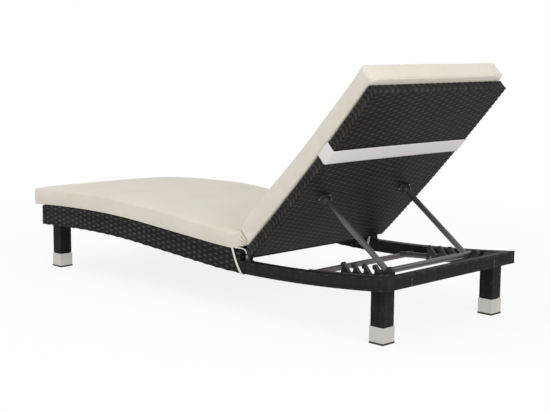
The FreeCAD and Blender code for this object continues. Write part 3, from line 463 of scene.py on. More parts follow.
# Legs: a square tube up into each corner of the frame, close-wound with the same strand from the
# top of its foot sleeve to the frame's underside
LEG_HALF, LEG_LOW, LEG_BLOCK, LEG_TUCK = 30.0, 61.0, 100, 1
LEG_STRANDS, LEG_RELIEF = (6, 6), 1.8
LEG_PLACES = {
    "foot_left": (-909, -320), "foot_right": (-909, 320), "head_left": (959, -320), "head_right": (959, 320)
}


def on_leg(points):
    """Block points stretched evenly up to the frame's underside, and a little into its weave."""
    top = frame_height(points[:, 0], 0) + LEG_TUCK
    share = (points[:, 2] - LEG_LOW) / LEG_BLOCK
    return np.stack([points[:, 0], points[:, 1], LEG_LOW + share * (top - LEG_LOW)], -1)


for name, (leg_x, leg_y) in LEG_PLACES.items():
    turns = round(float(frame_height(leg_x, 0) - LEG_LOW) / STRAND_WIDTH)
    woven_bar(
        f"woven_leg_{name}", (leg_x - LEG_HALF, leg_y - LEG_HALF, LEG_LOW),
        (leg_x + LEG_HALF, leg_y + LEG_HALF, LEG_LOW + LEG_BLOCK), 2,
        (turns, *LEG_STRANDS), LEG_RELIEF, f"leg_wrap_{name}", on_leg, laced_wrap
    )

# Leg sleeves: brushed and clear anodised aluminium, pale and satin. The belt leaves fine level
# scratches, which are drawn 1 mm apart so that they show.
sleeve_metal, tree, shader = finish("brushed_anodised_aluminium", "#C4C2BB", Roughness=0.34, Metallic=0.85)
place = add(tree, "ShaderNodeTexCoord").outputs["Object"]
flat = add(tree, "ShaderNodeMapping", {"Vector": place, "Scale": (6.0, 6.0, 900.0)})
scratch = add(tree, "ShaderNodeTexNoise", {
    "Vector": flat.outputs[0], "Scale": 1.0, "Detail": 4.0, "Roughness": 0.7
})
add(tree, "ShaderNodeMapRange", {
    "Value": scratch.outputs["Fac"], "To Min": 0.26, "To Max": 0.46
}, into=shader.inputs["Roughness"])
add(tree, "ShaderNodeBump", {
    "Height": scratch.outputs["Fac"], "Strength": 0.15, "Distance": 0.0003
}, into=shader.inputs["Normal"])
dress(sleeve_metal, "leg_sleeves")

# Glides: a shallow cap under each leg, which laps over the sleeve's lower edge. They and the small
# plugs and washers are moulded polypropylene: black, even and slightly grained.
plastic, tree, shader = finish("moulded_black_polypropylene", "#1B1A1A", Roughness=0.5, IOR=1.49)
place = add(tree, "ShaderNodeTexCoord").outputs["Object"]
grain = add(tree, "ShaderNodeTexNoise", {"Vector": place, "Scale": 700.0, "Detail": 2.0})
add(tree, "ShaderNodeBump", {
    "Height": grain.outputs["Fac"], "Strength": 0.2, "Distance": 0.0003
}, into=shader.inputs["Normal"])
dress(plastic, "stay_end_plugs", "hinge_washers")
GLIDE_HALF, GLIDE_TOP, GLIDE_ROUND, GLIDE_BEND = 31.8, 7.5, 1.2, 0.4
low, high = (-GLIDE_HALF, -GLIDE_HALF, 0), (GLIDE_HALF, GLIDE_HALF, GLIDE_TOP)
inward = [0, GLIDE_BEND, GLIDE_ROUND]
cap_side = [step - GLIDE_HALF for step in inward] + [GLIDE_HALF - step for step in inward[::-1]]
cap, cap_faces = block_skin(cap_side, cap_side, inward + [GLIDE_TOP - step for step in inward[::-1]])
cap = rounded(cap, low, high, GLIDE_ROUND, np.zeros(len(cap)))
glides = mesh_piece(
    "leg_glide_caps", np.concatenate([cap + [leg_x, leg_y, 0] for leg_x, leg_y in LEG_PLACES.values()]),
    np.concatenate([cap_faces + len(cap) * number for number in range(len(LEG_PLACES))]), plastic
)
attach(glides, "frame")
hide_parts("leg_glides")

# Bolts, pins and screws: bought steel fixings, zinc plated. They are grey with a soft shine, and
# the plating is cloudy.
plated, tree, shader = finish("zinc_plated_steel", "#7E7C78", Roughness=0.35, Metallic=0.9)
place = add(tree, "ShaderNodeTexCoord").outputs["Object"]
cloudy = add(tree, "ShaderNodeTexNoise", {"Vector": place, "Scale": 160.0, "Detail": 4.0})
add(tree, "ShaderNodeMapRange", {
    "Value": cloudy.outputs["Fac"], "To Min": 0.25, "To Max": 0.5
}, into=shader.inputs["Roughness"])
dress(plated, "leg_bolts", "rack_screws", "hinge_pins", "stay_pins", "bracket_screws")

# Brackets, lugs and rail bolts: pressed steel, painted near-black, a little patchy in gloss and tone.
# Where a piece is marked as an edge, the paint has rubbed thin and is paler.
painted, tree, shader = finish("black_painted_steel", "#232121", Roughness=0.42, Metallic=0.1)
place = add(tree, "ShaderNodeTexCoord").outputs["Object"]
patchy = add(tree, "ShaderNodeTexNoise", {"Vector": place, "Scale": 60.0, "Detail": 4.0})
add(tree, "ShaderNodeMapRange", {
    "Value": patchy.outputs["Fac"], "To Min": 0.32, "To Max": 0.52
}, into=shader.inputs["Roughness"])
coat = add(tree, "ShaderNodeValToRGB", {"Fac": patchy.outputs["Fac"]})
set_stops(coat, (0.3, "#1A1817"), (0.8, "#292625"))
edge = add(tree, "ShaderNodeAttribute", attribute_name="edge")
rubbed = add(tree, "ShaderNodeMath", {
    0: edge.outputs["Fac"], 1: patchy.outputs["Fac"]
}, operation="MULTIPLY")
rim = add(tree, "ShaderNodeMix", {
    "Factor": rubbed.outputs[0], 6: coat.outputs["Color"], 7: colour("#6E6A67")
}, data_type="RGBA")
tree.links.new(rim.outputs[2], shader.inputs["Base Color"])
dress(painted, "hinge_bracket_left", "hinge_bracket_right", "hinge_lugs", "rack_bar_bolts")

# Racks: a toothed steel plate on each inner bar, cut and painted like the brackets. Four leaning
# slots take the stay's foot. The teeth between them lean with the slots and end in round knobs, and
# a broad hump closes the row at the head end.
NOTCH_X, NOTCH_RISE, NOTCH_PITCH, SLOT_RADIUS, LEAN = 905.0, 49.0, 49.0, 12.0, np.radians(30)
TOOTH_REACH, KNOB_RADIUS, KNOB_SHIFT = 30.0, 10.0, 4.5
KNOB_FROM, KNOB_TO, HUMP_TO = -0.05 * np.pi, 1.15 * np.pi, 0.82 * np.pi
RACK_FROM, RACK_TO, RACK_RISE, RACK_CORNER = 709.0, 952.0, 12.0, 6
HUMP_RADIUS, HUMP_RISE = 17.0, NOTCH_RISE + 2
RACK_INNER, RACK_OUTER, CHAMFER, FACE_INSET = 245.0, 258.0, 1.2, 2.4


def arc(centre, radius, start, end, count):
    """Points at equal angles on a circle, from the start angle to the end angle."""
    turn = np.linspace(start, end, count)[:, None]
    return centre + radius * np.concatenate([np.cos(turn), np.sin(turn)], 1)


def rack_outline():
    """The rack's outline in x and z, from the foot end's lower corner along below and back over the teeth.

    Each slot ends in a half circle, and each tooth in a round knob that hangs over towards the foot end,
    both turned by the lean and the frame's slope there.
    """
    foot, head = [np.array([x, frame_height(x, RACK_RISE)]) for x in (RACK_FROM, RACK_TO)]
    below = np.linspace(RACK_FROM + RACK_CORNER, RACK_TO - RACK_CORNER, 12)
    hump_x = RACK_TO - HUMP_RADIUS
    hump = np.array([hump_x, float(frame_height(hump_x, HUMP_RISE))])
    pieces = [
        np.stack([below, frame_height(below, RACK_RISE)], 1),
        arc(head + [-RACK_CORNER, RACK_CORNER], RACK_CORNER, -np.pi / 2, 0, 5),
        arc(hump, HUMP_RADIUS, 0, HUMP_TO, 16),
    ]
    for number in range(4):
        x = NOTCH_X - NOTCH_PITCH * number
        centre = np.array([x, float(frame_height(x, NOTCH_RISE))])
        tilt = np.arcsin((x - DIP_X) / (HEAD_ARC - NOTCH_RISE)) + LEAN
        half = (NOTCH_PITCH * np.cos(tilt) - 2 * SLOT_RADIUS) / 2
        up, side = np.array([-np.sin(tilt), np.cos(tilt)]), np.array([np.cos(tilt), np.sin(tilt)])
        tip = centre - side * (SLOT_RADIUS + half + KNOB_SHIFT) + up * TOOTH_REACH
        pieces.append(arc(centre, SLOT_RADIUS, tilt, tilt - np.pi, 13))
        pieces.append(arc(tip, KNOB_RADIUS, tilt + KNOB_FROM, tilt + KNOB_TO, 17))
    pieces.append(arc(foot + [RACK_CORNER, RACK_CORNER], RACK_CORNER, np.pi, np.pi * 1.5, 5))
    return np.concatenate(pieces)


# The plate is the outline repeated across its thickness, drawn in along its normals at the rims,
# where the paint is rubbed
outline = rack_outline()
along = np.roll(outline, -1, 0) - np.roll(outline, 1, 0)
normal = np.stack([along[:, 1], -along[:, 0]], 1)
normal /= np.linalg.norm(normal, axis=1, keepdims=True)
half = (RACK_OUTER - RACK_INNER) / 2
plate = np.array([-half, -half, -half + CHAMFER, 0, half - CHAMFER, half, half])
inset = np.array([FACE_INSET, CHAMFER, 0, 0, 0, CHAMFER, FACE_INSET])
rubbed_edge = np.repeat([0, 0.4, 0.3, 0, 0.3, 0.4, 0], len(outline))
rings = outline[None] - normal[None] * inset[:, None, None]
number = np.arange(len(inset) * len(outline)).reshape(len(inset), -1)
walls = quads(np.pad(number, ((0, 0), (0, 1)), "wrap"))
faces = [*walls.tolist(), number[0].tolist(), number[-1][::-1].tolist()]
for side, sign in SIDES:
    across = np.repeat((sign * (RACK_INNER + RACK_OUTER) / 2 + plate)[:, None], len(outline), 1)
    points = np.stack([rings[..., 0], across, rings[..., 1]], -1).reshape(-1, 3)
    rack = mesh_piece(f"toothed_rack_{side}", points, faces, painted, edge=rubbed_edge)
    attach(rack, "frame")
    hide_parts(f"rack_{side}")

# Backrest shell: strands woven over the front and back in a finer weave than the frame's, toned
# darker with painted shade, and plaited along both sides and both ends. Inside it is a welded,
# coated frame of tubes, bent to a long arc.
HINGE, TILT = np.array([350.0, 0.0, 222.07567]), np.radians(44.442)
BACK_FROM, BACK_TO, BACK_THICK = 19.0, 875.0, 38.5
BACK_ARC, ARC_DROP = 10000, 15
SHELL_Y, SHELL_LOW, SHELL_OVER, SHELL_ROUND = SIDE_Y + 1.6, -1.2, 1, 2.6
ROWS, COLUMNS, LOOP = 86, 24, 20.0
SIDE_RELIEF, BACK_RELIEF = 2.5, 2.2


def on_back(points):
    """Block points (length, y, rise) bent along the back's arc, tilted and set on the hinge.

    The line at a rise is a circle of the arc's radius less the rise, and the arc's lowest point is under the
    hinge pin by the drop.
    """
    along = points[:, 0]
    rise = BACK_ARC - ARC_DROP - np.sqrt((BACK_ARC - points[:, 2]) ** 2 - along ** 2)
    return HINGE + np.stack([
        along * np.cos(TILT) - rise * np.sin(TILT), points[:, 1], along * np.sin(TILT) + rise * np.cos(TILT)
    ], -1)


def braid(length, middle):
    """Depth of a flat plait, 0 to 1: slanting strands that meet in a V, with an eyelet in each loop.

    A strand's height is the sine of the length in loops plus the distance from the middle, and an eyelet is
    a slanting bell in the middle of the loop.
    """
    strands = np.abs(np.sin(np.pi * (length + 1.3 * np.abs(middle)))) ** 0.8
    turn = np.mod(length, 1) - 0.5
    eyelet = np.exp(-(turn / 0.16) ** 2 - ((middle - 0.06 + 0.5 * turn) / 0.15) ** 2)
    return np.clip(1 - 0.86 * strands + 0.7 * eyelet, 0, 1)


low, high = (BACK_FROM, -SHELL_Y, SHELL_LOW), (BACK_TO + SHELL_OVER, SHELL_Y, BACK_THICK)
points, faces = block_skin(
    steps(low[0], high[0], ROWS), steps(low[1], high[1], COLUMNS, (0, 0.25, 0.4, 0.6, 0.75)),
    steps(low[2], high[2], 4, THIRDS)
)
x, y, rise = points.T
loop = x / LOOP
row = (x - BACK_FROM) / (BACK_TO - BACK_FROM) * ROWS
column = (y + SHELL_Y) / (2 * SHELL_Y) * COLUMNS
height = rise / BACK_THICK - 0.5
on_side = np.abs(y) > SHELL_Y - 0.01
on_end = (x < low[0] + 0.01) | (x > high[0] - 0.01)
sunk = np.select(
    [on_side, on_end], [braid(loop, height), braid(column, height)], plain_weave(column - 0.5, row - 0.5)
)
# The front and back weave's strands are toned darker: painted shade
tint = np.select(
    [on_side, on_end], [0.4 + strand_tint(np.round(loop)), strand_tint(np.round(column)) - 0.2],
    0.4 * strand_tint(np.round(row - 0.5)) - 0.5
)
formed = rounded(points, low, high, SHELL_ROUND, sunk * np.where(on_side, SIDE_RELIEF, BACK_RELIEF))
shell = mesh_piece("woven_backrest", on_back(formed), faces, rattan, depth=sunk, tint=tint)
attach(shell, "backrest")
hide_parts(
    "back_side_wrap_left", "back_side_wrap_right", "back_top_wrap", "back_bottom_wrap", "back_panel",
    "front_panel"
)
dress(coated, "back_side_tube_left", "back_side_tube_right", "back_end_tubes", "back_cross_bar")

# Prop stay: a bow of round tube, two legs on a cross tube, pinned to brackets under the backrest.
# Its metallic powder coat is greyer and glossier than the frame's, with 1 mm flakes drawn at 2 mm.
stay_coat, tree, shader = finish("grey_metallic_powder_coat", "#605D5B", Roughness=0.3, Metallic=0.7)
place = add(tree, "ShaderNodeTexCoord").outputs["Object"]
flake = add(tree, "ShaderNodeTexNoise", {"Vector": place, "Scale": 420.0, "Detail": 3.0})
toned = add(tree, "ShaderNodeValToRGB", {"Fac": flake.outputs["Fac"]}, into=shader.inputs["Base Color"])
set_stops(toned, (0.3, "#585654"), (0.7, "#706D6B"))
scuffs = add(tree, "ShaderNodeTexNoise", {"Vector": place, "Scale": 25.0, "Detail": 4.0})
add(tree, "ShaderNodeMapRange", {
    "Value": scuffs.outputs["Fac"], "To Min": 0.23, "To Max": 0.35
}, into=shader.inputs["Roughness"])
dress(stay_coat, "stay_leg_left", "stay_leg_right", "stay_cross_tube", "stay_brackets")

# Pad: one long foam pad in a sewn cream cover, laid on the deck and up the backrest. It folds at the
# hinge, where the cover is gathered, and overhangs both ends by a finger's width.
PAD_HALF, SEAT_THICK, BACK_PAD = 382.0, 60.0, 70.0
SEAT_FROM, SEAT_TO, PAD_UP, PAD_END = -1027.0, 280.0, 47.0, 901.0
SEAT_RISE, BACK_RISE = 90.4, 38.9
STRAP_X = 576.0

# The pad starts as a straight block: its run goes over the seat, through the fold and up the back
FOLD, BLOCK = 80.0, 60.0
SEAT_RUN = SEAT_TO - SEAT_FROM
CREASE = SEAT_RUN + FOLD
WHOLE = CREASE + PAD_END - PAD_UP

# Where the fold's lower and upper lines leave the seat and how they meet the back, in mm
FOLD_WAYS = ((0.0, (29, 7), (28, 10)), (1.0, (24, 1), (14, 9)))

# Radii of its edges: the upper one at the sides and at the ends, the lower one on the seat and at
# the back's sides, and the corners in plan at the foot and at the top
TOP_ROUND, END_ROUND, LOW_ROUND, BACK_LOW_ROUND = 13.0, 5.0, 4.0, 13.0
FOOT_PLAN_ROUND, TOP_PLAN_ROUND = 6.0, 20.0

# What the foam adds to the thickness, as shares of it: the crown, slow waves, fuller in the middle
# of the seat, at one foot corner and above the fold, and thinner at the top
CROWN, WAVES, SEAT_FULL, FOOT_FULL, BACK_FULL, TOP_THIN = 0.07, 0.012, 0.2, 0.2, 0.26, 0.33

# How far the sides stand out or in, in mm: their swell, the crease, the strap's pull, the gathers
SWELL, CREASE_IN, STRAP_IN, GATHER_IN = 2.5, 14, 3.5, 17
GATHER_X, GATHER_Z, GATHER_TURN, GATHER_REACH = 364.0, 274.0, 22, 42


def rising(value, start, length):
    """A share that is 0 up to the start, rises evenly over the length, and stays 1 after it."""
    return np.clip((value - start) / length, 0, 1)


def bell(value, centre, width):
    """A bell that is 1 at the centre: the exponential of less the square of the distance in widths."""
    return np.exp(-((value - centre) / width) ** 2)


def pad_lines(run):
    """Underside and upper line of the pad in side view at each run, in mm from the seat's foot end.

    Over the seat both lines lie over the frame's curve, and over the back over the backrest's. Between them,
    through the fold, each is a cubic that leaves one line and meets the other in given directions.
    """
    x = SEAT_FROM + np.minimum(run, SEAT_RUN)
    up = PAD_UP + np.maximum(run - CREASE, 0)
    t = rising(run, SEAT_RUN, FOLD)[:, None]
    lines = []
    for lift, leave, arrive in FOLD_WAYS:
        seat_rise, back_rise = SEAT_RISE + lift * SEAT_THICK, BACK_RISE + lift * BACK_PAD
        flat = np.stack([x, frame_height(x, seat_rise)], -1)
        raised = on_back(np.stack([up, np.zeros_like(up), np.full_like(up, back_rise)], -1))[:, ::2]
        a = np.array([SEAT_TO, float(frame_height(SEAT_TO, seat_rise))])
        b = on_back(np.array([[PAD_UP, 0, back_rise]]))[0, ::2]
        cubic = (
            (2 * t ** 3 - 3 * t ** 2 + 1) * a + (t ** 3 - 2 * t ** 2 + t) * np.array(leave)
            + (3 * t ** 2 - 2 * t ** 3) * b + (t ** 3 - t ** 2) * np.array(arrive)
        )
        lines.append(np.where(run[:, None] < SEAT_RUN, flat, np.where(run[:, None] > CREASE, raised, cubic)))
    return lines


def gathers(x, z):
    """Depth, 0 to 1, of the folds that fan out over the pad's side from the crease's lower end.

    Each of the three folds is a bell of the angle round that end, and a low ridge stands between them. They
    fade within 12 mm of the end and beyond the reach.
    """
    reach = np.hypot(x - GATHER_X, z - GATHER_Z)
    angle = np.degrees(np.arctan2(z - GATHER_Z, GATHER_X - x))
    turn = (angle + 14) / GATHER_TURN
    fold = bell(turn, np.round(turn), 0.27) - 0.35
    fold = fold * rising(reach, 0, 12) * np.exp(-(reach / GATHER_REACH) ** 4)
    return fold * ((angle > -25) & (angle < 41))


def pad_surface(points):
    """Block points (run, y, lift) of the pad's skin laid on its lines, with the form the foam gives it.

    The block's upper edges are rounded wide, the lower ones tight on the seat and wide along the back's
    sides, and its four corners in plan are quarter circles. The crown is a curve of fourth degree across
    and a root of a sine along, the foam's other swells are sines, bells and even ramps, the sides swell by
    a parabola, and the crease, its puckers, the gathers and the strap's pull are bells.
    """
    low_side = rising(np.abs(points[:, 1:2]), 330, 30) * rising(points[:, :1], CREASE, 60)
    from_end = rising(np.minimum(points[:, :1], WHOLE - points[:, :1]), 0, 60)
    top_round = END_ROUND + (TOP_ROUND - END_ROUND) * from_end
    low_round = LOW_ROUND + (BACK_LOW_ROUND - LOW_ROUND) * low_side
    radius = np.where(points[:, 2:] > BLOCK / 2, top_round, low_round)
    core = np.clip(points, np.array([0, -PAD_HALF, 0]) + radius, np.array([WHOLE, PAD_HALF, BLOCK]) - radius)
    way = points - core
    run, y, lift = (core + way / np.linalg.norm(way, axis=1, keepdims=True) * radius).T

    plan_round = np.where(run < CREASE, FOOT_PLAN_ROUND, TOP_PLAN_ROUND)
    inner_run = np.clip(run, plan_round, WHOLE - plan_round)
    inner_y = np.clip(y, plan_round - PAD_HALF, PAD_HALF - plan_round)
    beyond = np.maximum(np.hypot(run - inner_run, y - inner_y) / plan_round, 1)
    run, y = inner_run + (run - inner_run) / beyond, inner_y + (y - inner_y) / beyond

    share, out = lift / BLOCK, np.abs(y) / PAD_HALF
    under, over = pad_lines(run)
    near_crease = bell(run, CREASE, 5)
    pucker = 0.3 + 0.05 * np.sin(y / 14) + 0.04 * np.sin(y / 9 + 1)
    crown = CROWN * (1 - out ** 4) * (0.3 + 0.7 * np.sin(np.pi * rising(run, 0, WHOLE)) ** 0.5)
    soft = WAVES * (np.sin(run / 97 + y / 160) + np.sin(run / 61 - y / 83 + 2))
    middle = SEAT_FULL * np.sin(np.pi * rising(run, -40, CREASE + 40)) * (run < CREASE)
    at_foot = FOOT_FULL * bell(run, 0, 200) * (0.5 - 0.5 * y / PAD_HALF)
    up_back = rising(run, CREASE, WHOLE - CREASE)
    above_fold = BACK_FULL * (1 - np.exp(-(run - CREASE) / 30)) - TOP_THIN * up_back
    foam = middle + at_foot + np.where(run > CREASE, above_fold, 0)
    thick = share * (1 + crown + soft + foam - near_crease * pucker)
    x, z = (under + (over - under) * thick[:, None]).T

    strap_pull = bell(run - CREASE + PAD_UP, STRAP_X, 38) * (1 - share)
    swell = SWELL * 4 * share * (1 - share)
    outward = swell - CREASE_IN * near_crease * share ** 0.3 - STRAP_IN * strap_pull
    fanned = np.where(run < CREASE + 2, gathers(x, z), 0)
    return np.stack([x, y + np.sign(y) * out ** 10 * (outward - GATHER_IN * fanned), z], -1)


# Sample places along, across and up the block, closer at its edges and in the fold
runs = np.concatenate([
    [0, 1.2, 4, 8, 14], np.linspace(24, SEAT_RUN - 16, 84), SEAT_RUN + np.linspace(-8, FOLD + 10, 48),
    np.linspace(CREASE + 28, WHOLE - 24, 54), WHOLE - np.array([14, 8, 4, 1.2, 0])
])
from_side = np.array([0, 1, 4, 9, 15])
widths = np.concatenate([from_side - PAD_HALF, np.linspace(-357, 357, 37), PAD_HALF - from_side[::-1]])
heights = np.concatenate([[0, 1.2, 3.5], np.linspace(6, 54, 18), [56.5, 58.8, 60]])
block, faces = block_skin(runs, widths, heights)
pad_points = pad_surface(block)

# Solution-dyed acrylic canvas: cream, matt, with a soft bloom at grazing light. Its threads are
# 0.5 mm apart and are drawn 4 mm apart so that they show.
canvas, tree, shader = finish(
    "cream_acrylic_canvas", "#DBD5C8", Roughness=0.9, IOR=1.45, Sheen_Weight=0.12, Sheen_Roughness=0.5
)
place = add(tree, "ShaderNodeTexCoord").outputs["Object"]
way = add(tree, "ShaderNodeAttribute", attribute_name="run")
round_way = add(tree, "ShaderNodeAttribute", attribute_name="round")
laid = add(tree, "ShaderNodeCombineXYZ", {"X": way.outputs["Fac"], "Y": round_way.outputs["Fac"]})
spaced = {"Vector": laid.outputs[0], "Scale": 0.078, "Distortion": 0.5, "Detail": 1.0}
threads = add(tree, "ShaderNodeTexWave", spaced, bands_direction="X")
picks = add(tree, "ShaderNodeTexWave", spaced, bands_direction="Y")
cloth = add(tree, "ShaderNodeMath", {0: threads.outputs["Fac"], 1: picks.outputs["Fac"]}, operation="ADD")
add(tree, "ShaderNodeBump", {
    "Height": cloth.outputs[0], "Strength": 0.14, "Distance": 0.0004
}, into=shader.inputs["Normal"])
mottle = add(tree, "ShaderNodeTexNoise", {"Vector": place, "Scale": 5.0, "Detail": 3.0})
dye = add(tree, "ShaderNodeValToRGB", {"Fac": mottle.outputs["Fac"]}, into=shader.inputs["Base Color"])
set_stops(dye, (0.3, "#D9D2C4"), (0.7, "#DDD8CB"))

# The swell is a cloth simulation: its frames, the air's pressure, how much the cover may stretch
# (a shrink below 0), and the most that a point may move, in mm
SWELL_FRAMES, PRESSURE, SHRINK, SWELL_CAP = 20, 4.0, -0.008, 6.0


def blown_up(piece, held):
    """Places in mm of a cover's points after a cloth simulation with air inside and no gravity.

    held says how firmly each point keeps its place, from 0 to 1, and no point moves more than the cap: a
    move of m is taken as cap * tanh(m / cap).
    """
    scene = bpy.context.scene
    trial = bpy.data.objects.new("cover_trial", piece.data.copy())
    scene.collection.objects.link(trial)
    group = trial.vertex_groups.new(name="held")
    for weight in np.unique(held):
        group.add(np.flatnonzero(held == weight).tolist(), float(weight), "REPLACE")
    cloth = trial.modifiers.new("cover", "CLOTH")
    cloth.settings.quality = 5
    cloth.settings.use_pressure = True
    cloth.settings.uniform_pressure_force = PRESSURE
    cloth.settings.vertex_group_mass = "held"
    cloth.settings.effector_weights.gravity = 0
    cloth.settings.shrink_min = SHRINK
    cloth.collision_settings.use_collision = False
    cloth.point_cache.frame_start, cloth.point_cache.frame_end = 1, SWELL_FRAMES
    for number in range(1, SWELL_FRAMES + 1):
        scene.frame_set(number)
    swollen = trial.evaluated_get(bpy.context.evaluated_depsgraph_get())
    still, moved = np.empty(len(held) * 3), np.empty(len(held) * 3)
    piece.data.vertices.foreach_get("co", still)
    swollen.data.vertices.foreach_get("co", moved)
    scene.frame_set(1)
    bpy.data.objects.remove(trial)
    still, step = still.reshape(-1, 3) * 1000, (moved - still).reshape(-1, 3) * 1000
    length = np.linalg.norm(step, axis=1, keepdims=True) + 1e-9
    return still + step / length * SWELL_CAP * np.tanh(length / SWELL_CAP)


# The underside lies still, the rim of the top is half held, and so is the fold, the more so the
# nearer to its middle.
run, y, lift = block.T
from_corner = girth((y + PAD_HALF) / (2 * PAD_HALF), lift / BLOCK, 2 * PAD_HALF, BLOCK)
pad = mesh_piece("lounger_pad", pad_points, faces, canvas, run=run, round=from_corner)
at_edge = (np.abs(y) > PAD_HALF - 10) | (run < 9) | (run > WHOLE - 9)
in_fold = bell(run - CREASE, -20, 34)
held = np.where(lift < 2, 1.0, np.where(at_edge & (lift > BLOCK - 8), 0.6, 0.0))
held = np.round(np.maximum(held, np.where(in_fold > 0.5, 1.0, in_fold)), 1)
pad_points = blown_up(pad, held)
pad.data.vertices.foreach_set("co", (pad_points / 1000).ravel())
finer = pad.modifiers.new("finer", "SUBSURF")
finer.levels = finer.render_levels = 1
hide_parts("seat_cushion", "back_cushion")
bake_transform(pad)

# Pad seam: a narrow welt of the same canvas, sewn in along the pad's lower edge, where the bottom
# panel meets the side panel
WELT, WELT_SIDES = 1.7, 8


def welt_rings(loop, inside):
    """Rings of points round a closed line, square to it, with the line moved outwards by half a radius.

    Outwards is away from the point inside the pad that belongs to each point of the line.
    """
    along = np.roll(loop, -1, 0) - np.roll(loop, 1, 0)
    along /= np.linalg.norm(along, axis=1, keepdims=True)
    out = loop - inside
    out -= (out * along).sum(1, keepdims=True) * along
    out /= np.linalg.norm(out, axis=1, keepdims=True)
    third = np.cross(along, out)
    turn = np.radians(np.arange(0, 360, 360 // WELT_SIDES))[None, :, None]
    ring = np.cos(turn) * out[:, None] + np.sin(turn) * third[:, None]
    return (loop + out * WELT / 2)[:, None] + WELT * ring


trace = [(run, -PAD_HALF) for run in runs] + [(WHOLE, y) for y in widths[1:-1]]
trace += [(run, PAD_HALF) for run in runs[::-1]] + [(0.0, y) for y in widths[-2:0:-1]]
trace = np.array(trace)
key = {tuple(place): number for number, place in enumerate(np.round(block, 3))}
loop = pad_points[[key[(round(run, 3), round(y, 3), heights[2])] for run, y in trace]]
inward = np.stack([np.clip(trace[:, 0], 40, WHOLE - 40), trace[:, 1] * 0.9, np.zeros(len(trace))], 1)
rings = welt_rings(loop, pad_surface(inward))
number = np.arange(rings.shape[0] * WELT_SIDES).reshape(-1, WELT_SIDES)
welt_faces = quads(np.pad(number, ((0, 1), (0, 1)), "wrap"))
distance = np.append(0, np.cumsum(np.linalg.norm(np.diff(loop, axis=0), axis=1)))
seam = mesh_piece(
    "pad_seam", rings.reshape(-1, 3), welt_faces, canvas, run=np.repeat(distance, WELT_SIDES),
    round=np.tile(np.arange(WELT_SIDES) * 1.5, len(loop))
)
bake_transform(seam)

# Strap: a flat band of elastic, sewn to the cover's edge at both ends. It goes round the sides of
# the backrest and straight across its back, and the pad is held by its stretch.
STRAP_HALF, STRAP_THICK_M = 32.5, 0.0012
strap_profile = np.array([
    [-384.6, 41.0], [-385.0, 32.0], [-385.4, 20.0], [-385.8, 8.0], [-385.6, 1.0], [-384.2, -2.6],
    [-381.0, -4.0], [-374.0, -4.0], [-330.0, -3.2], [-200.0, -2.4], [-70.0, -2.2],
])
strap_profile = np.concatenate([strap_profile, strap_profile[::-1] * [-1, 1]])
across_strap = np.linspace(-STRAP_HALF, STRAP_HALF, 14)
grid_y, grid_x = np.meshgrid(strap_profile[:, 0], across_strap, indexing="ij")
grid_rise = np.repeat(strap_profile[:, 1:], len(across_strap), 1)
points = np.stack([STRAP_X + grid_x, grid_y, grid_rise], -1).reshape(-1, 3)
number = np.arange(len(points)).reshape(grid_x.shape)
faces = quads(number.T)

# Knitted polyester elastic: off-white and matt, ribbed along its length. The ribs are 2 mm apart and
# are drawn at 5 mm so that they show.
elastic, tree, shader = finish("knitted_elastic", "#DFDBDA", Roughness=0.8, IOR=1.45)
width = add(tree, "ShaderNodeAttribute", attribute_name="width")
strip = add(tree, "ShaderNodeCombineXYZ", {"X": width.outputs["Fac"]})
rib = add(tree, "ShaderNodeTexWave", {"Vector": strip.outputs[0], "Scale": 0.063}, bands_direction="X")
add(tree, "ShaderNodeBump", {
    "Height": rib.outputs["Fac"], "Strength": 0.3, "Distance": 0.0004
}, into=shader.inputs["Normal"])
strap = mesh_piece("elastic_strap", on_back(points), faces, elastic, width=grid_x.ravel())
thick = strap.modifiers.new("thick", "SOLIDIFY")
thick.thickness, thick.offset = STRAP_THICK_M, 1.0
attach(strap, "backrest")
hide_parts("back_strap")

# Ties: a woven tape at each side of the fold, from the cover's lower corner down over the side band,
# round the low rail and up its inner side, and a thin loose end that hangs over the hinge
TAPE_HALF, LOOSE_HALF, TAPE_POINTS, TAPE_THICK_M = 5.0, 2.2, 5, 0.0008

# Middle lines on the right side, each row a place (x, y, z) in mm and the way the tape's face looks
HOLDING = np.array([
    [281, 385.0, 251.0, 0, 1, 0], [284, 385.6, 241.0, 0, 1, 0], [290, 385.0, 225.0, 0, 1, 0],
    [297, 384.6, 208.0, 0, 1, 0], [305, 384.4, 191.0, 0, 1, 0], [315, 384.0, 174.0, 0, 1, 0],
    [325, 383.6, 161.0, 0, 1, -0.2], [328.5, 381.6, 154.4, 0, 0.7, -0.7], [330, 377, 153.2, 0, 0.1, -1],
    [330, 362, 153.4, 0, 0, -1], [330, 347, 153.4, 0, -0.1, -1], [330.5, 341.2, 155.4, 0, -0.7, -0.7],
    [331, 340.2, 162.0, 0, -1, 0], [334, 340.0, 180.0, 0, -1, 0], [340, 339.4, 204.0, 0, -1, 0],
    [346, 338.0, 226.0, 0, -1, 0.1],
])
LOOSE = np.array([
    [294, 384.6, 251.0, 0, 1, 0.1], [308, 385.6, 252.4, 0, 1, 0.1], [322, 386.4, 253.4, 0, 1, 0],
    [338, 386.8, 253.4, 0, 1, 0], [350, 386.6, 250.4, 0, 1, 0], [357, 386.2, 244.6, 0, 1, 0],
    [359, 385.8, 237.0, 0, 1, 0],
])

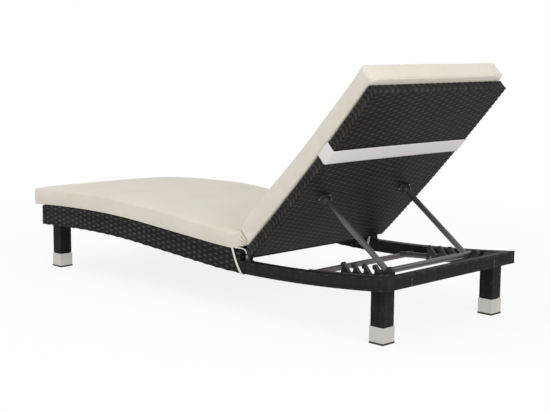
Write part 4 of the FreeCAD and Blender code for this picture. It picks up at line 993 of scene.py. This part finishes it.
# Bleached cotton tape: off-white and matt, with the fine slanting ribs of a twill, which are 1 mm
# wide and drawn at 4 mm so that they show
tape, tree, shader = finish("cotton_tape", "#DEDBD1", Roughness=0.85, IOR=1.45)
place = add(tree, "ShaderNodeTexCoord").outputs["Object"]
twill = add(tree, "ShaderNodeTexWave", {
    "Vector": place, "Scale": 160.0, "Distortion": 0.3
}, bands_direction="DIAGONAL")
add(tree, "ShaderNodeBump", {
    "Height": twill.outputs["Fac"], "Strength": 0.2, "Distance": 0.0003
}, into=shader.inputs["Normal"])


def eased(rows, count):
    """A smooth line through the rows, count points to each stretch.

    It is a Catmull-Rom curve, a cubic whose direction at a row is half the step between the rows beside it,
    with each end point doubled.
    """
    rows = np.concatenate([rows[:1], rows, rows[-1:]])
    before, a, b, after = rows[:-3, None], rows[1:-2, None], rows[2:-1, None], rows[3:, None]
    t = (np.arange(count) / count)[None, :, None]
    bend = 2 * before - 5 * a + 4 * b - after + t * (3 * (a - b) + after - before)
    line = a + 0.5 * t * (b - before + t * bend)
    return np.concatenate([line.reshape(-1, rows.shape[1]), rows[-1:]])


def ribbon(rows, half):
    """Grid of points of a flat band: each row holds a place on its middle line and the way its face looks.

    The band runs to either side of the line by the half width, square to both the line and the face.
    """
    middle, face = rows[:, :3], rows[:, 3:]
    across = np.cross(np.gradient(middle, axis=0), face)
    across /= np.linalg.norm(across, axis=1, keepdims=True)
    return middle[:, None] + across[:, None] * np.linspace(-half, half, TAPE_POINTS)[:, None]


for side, sign in SIDES:
    points, faces, area = [], [], 0.0
    for rows, half in ((HOLDING, TAPE_HALF), (LOOSE, LOOSE_HALF)):
        grid = ribbon(eased(rows, 4) * [1, sign, 1, 1, sign, 1], half)
        number = np.arange(grid.shape[0] * TAPE_POINTS) + sum(len(made) for made in points)
        number = number.reshape(-1, TAPE_POINTS)
        points.append(grid.reshape(-1, 3))
        faces.append(quads(number.T)[:, ::-1])
        area += np.linalg.norm(np.diff(grid[:, 2], axis=0), axis=1).sum() * 2 * half / 1e6
    tie = mesh_piece(f"pad_tie_{side}", np.concatenate(points), np.concatenate(faces), tape)
    thick = tie.modifiers.new("thick", "SOLIDIFY")
    thick.thickness, thick.offset = TAPE_THICK_M, 0.0
    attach(tie, "frame")
    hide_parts(f"tie_{side}")

bpy.context.view_layer.update()
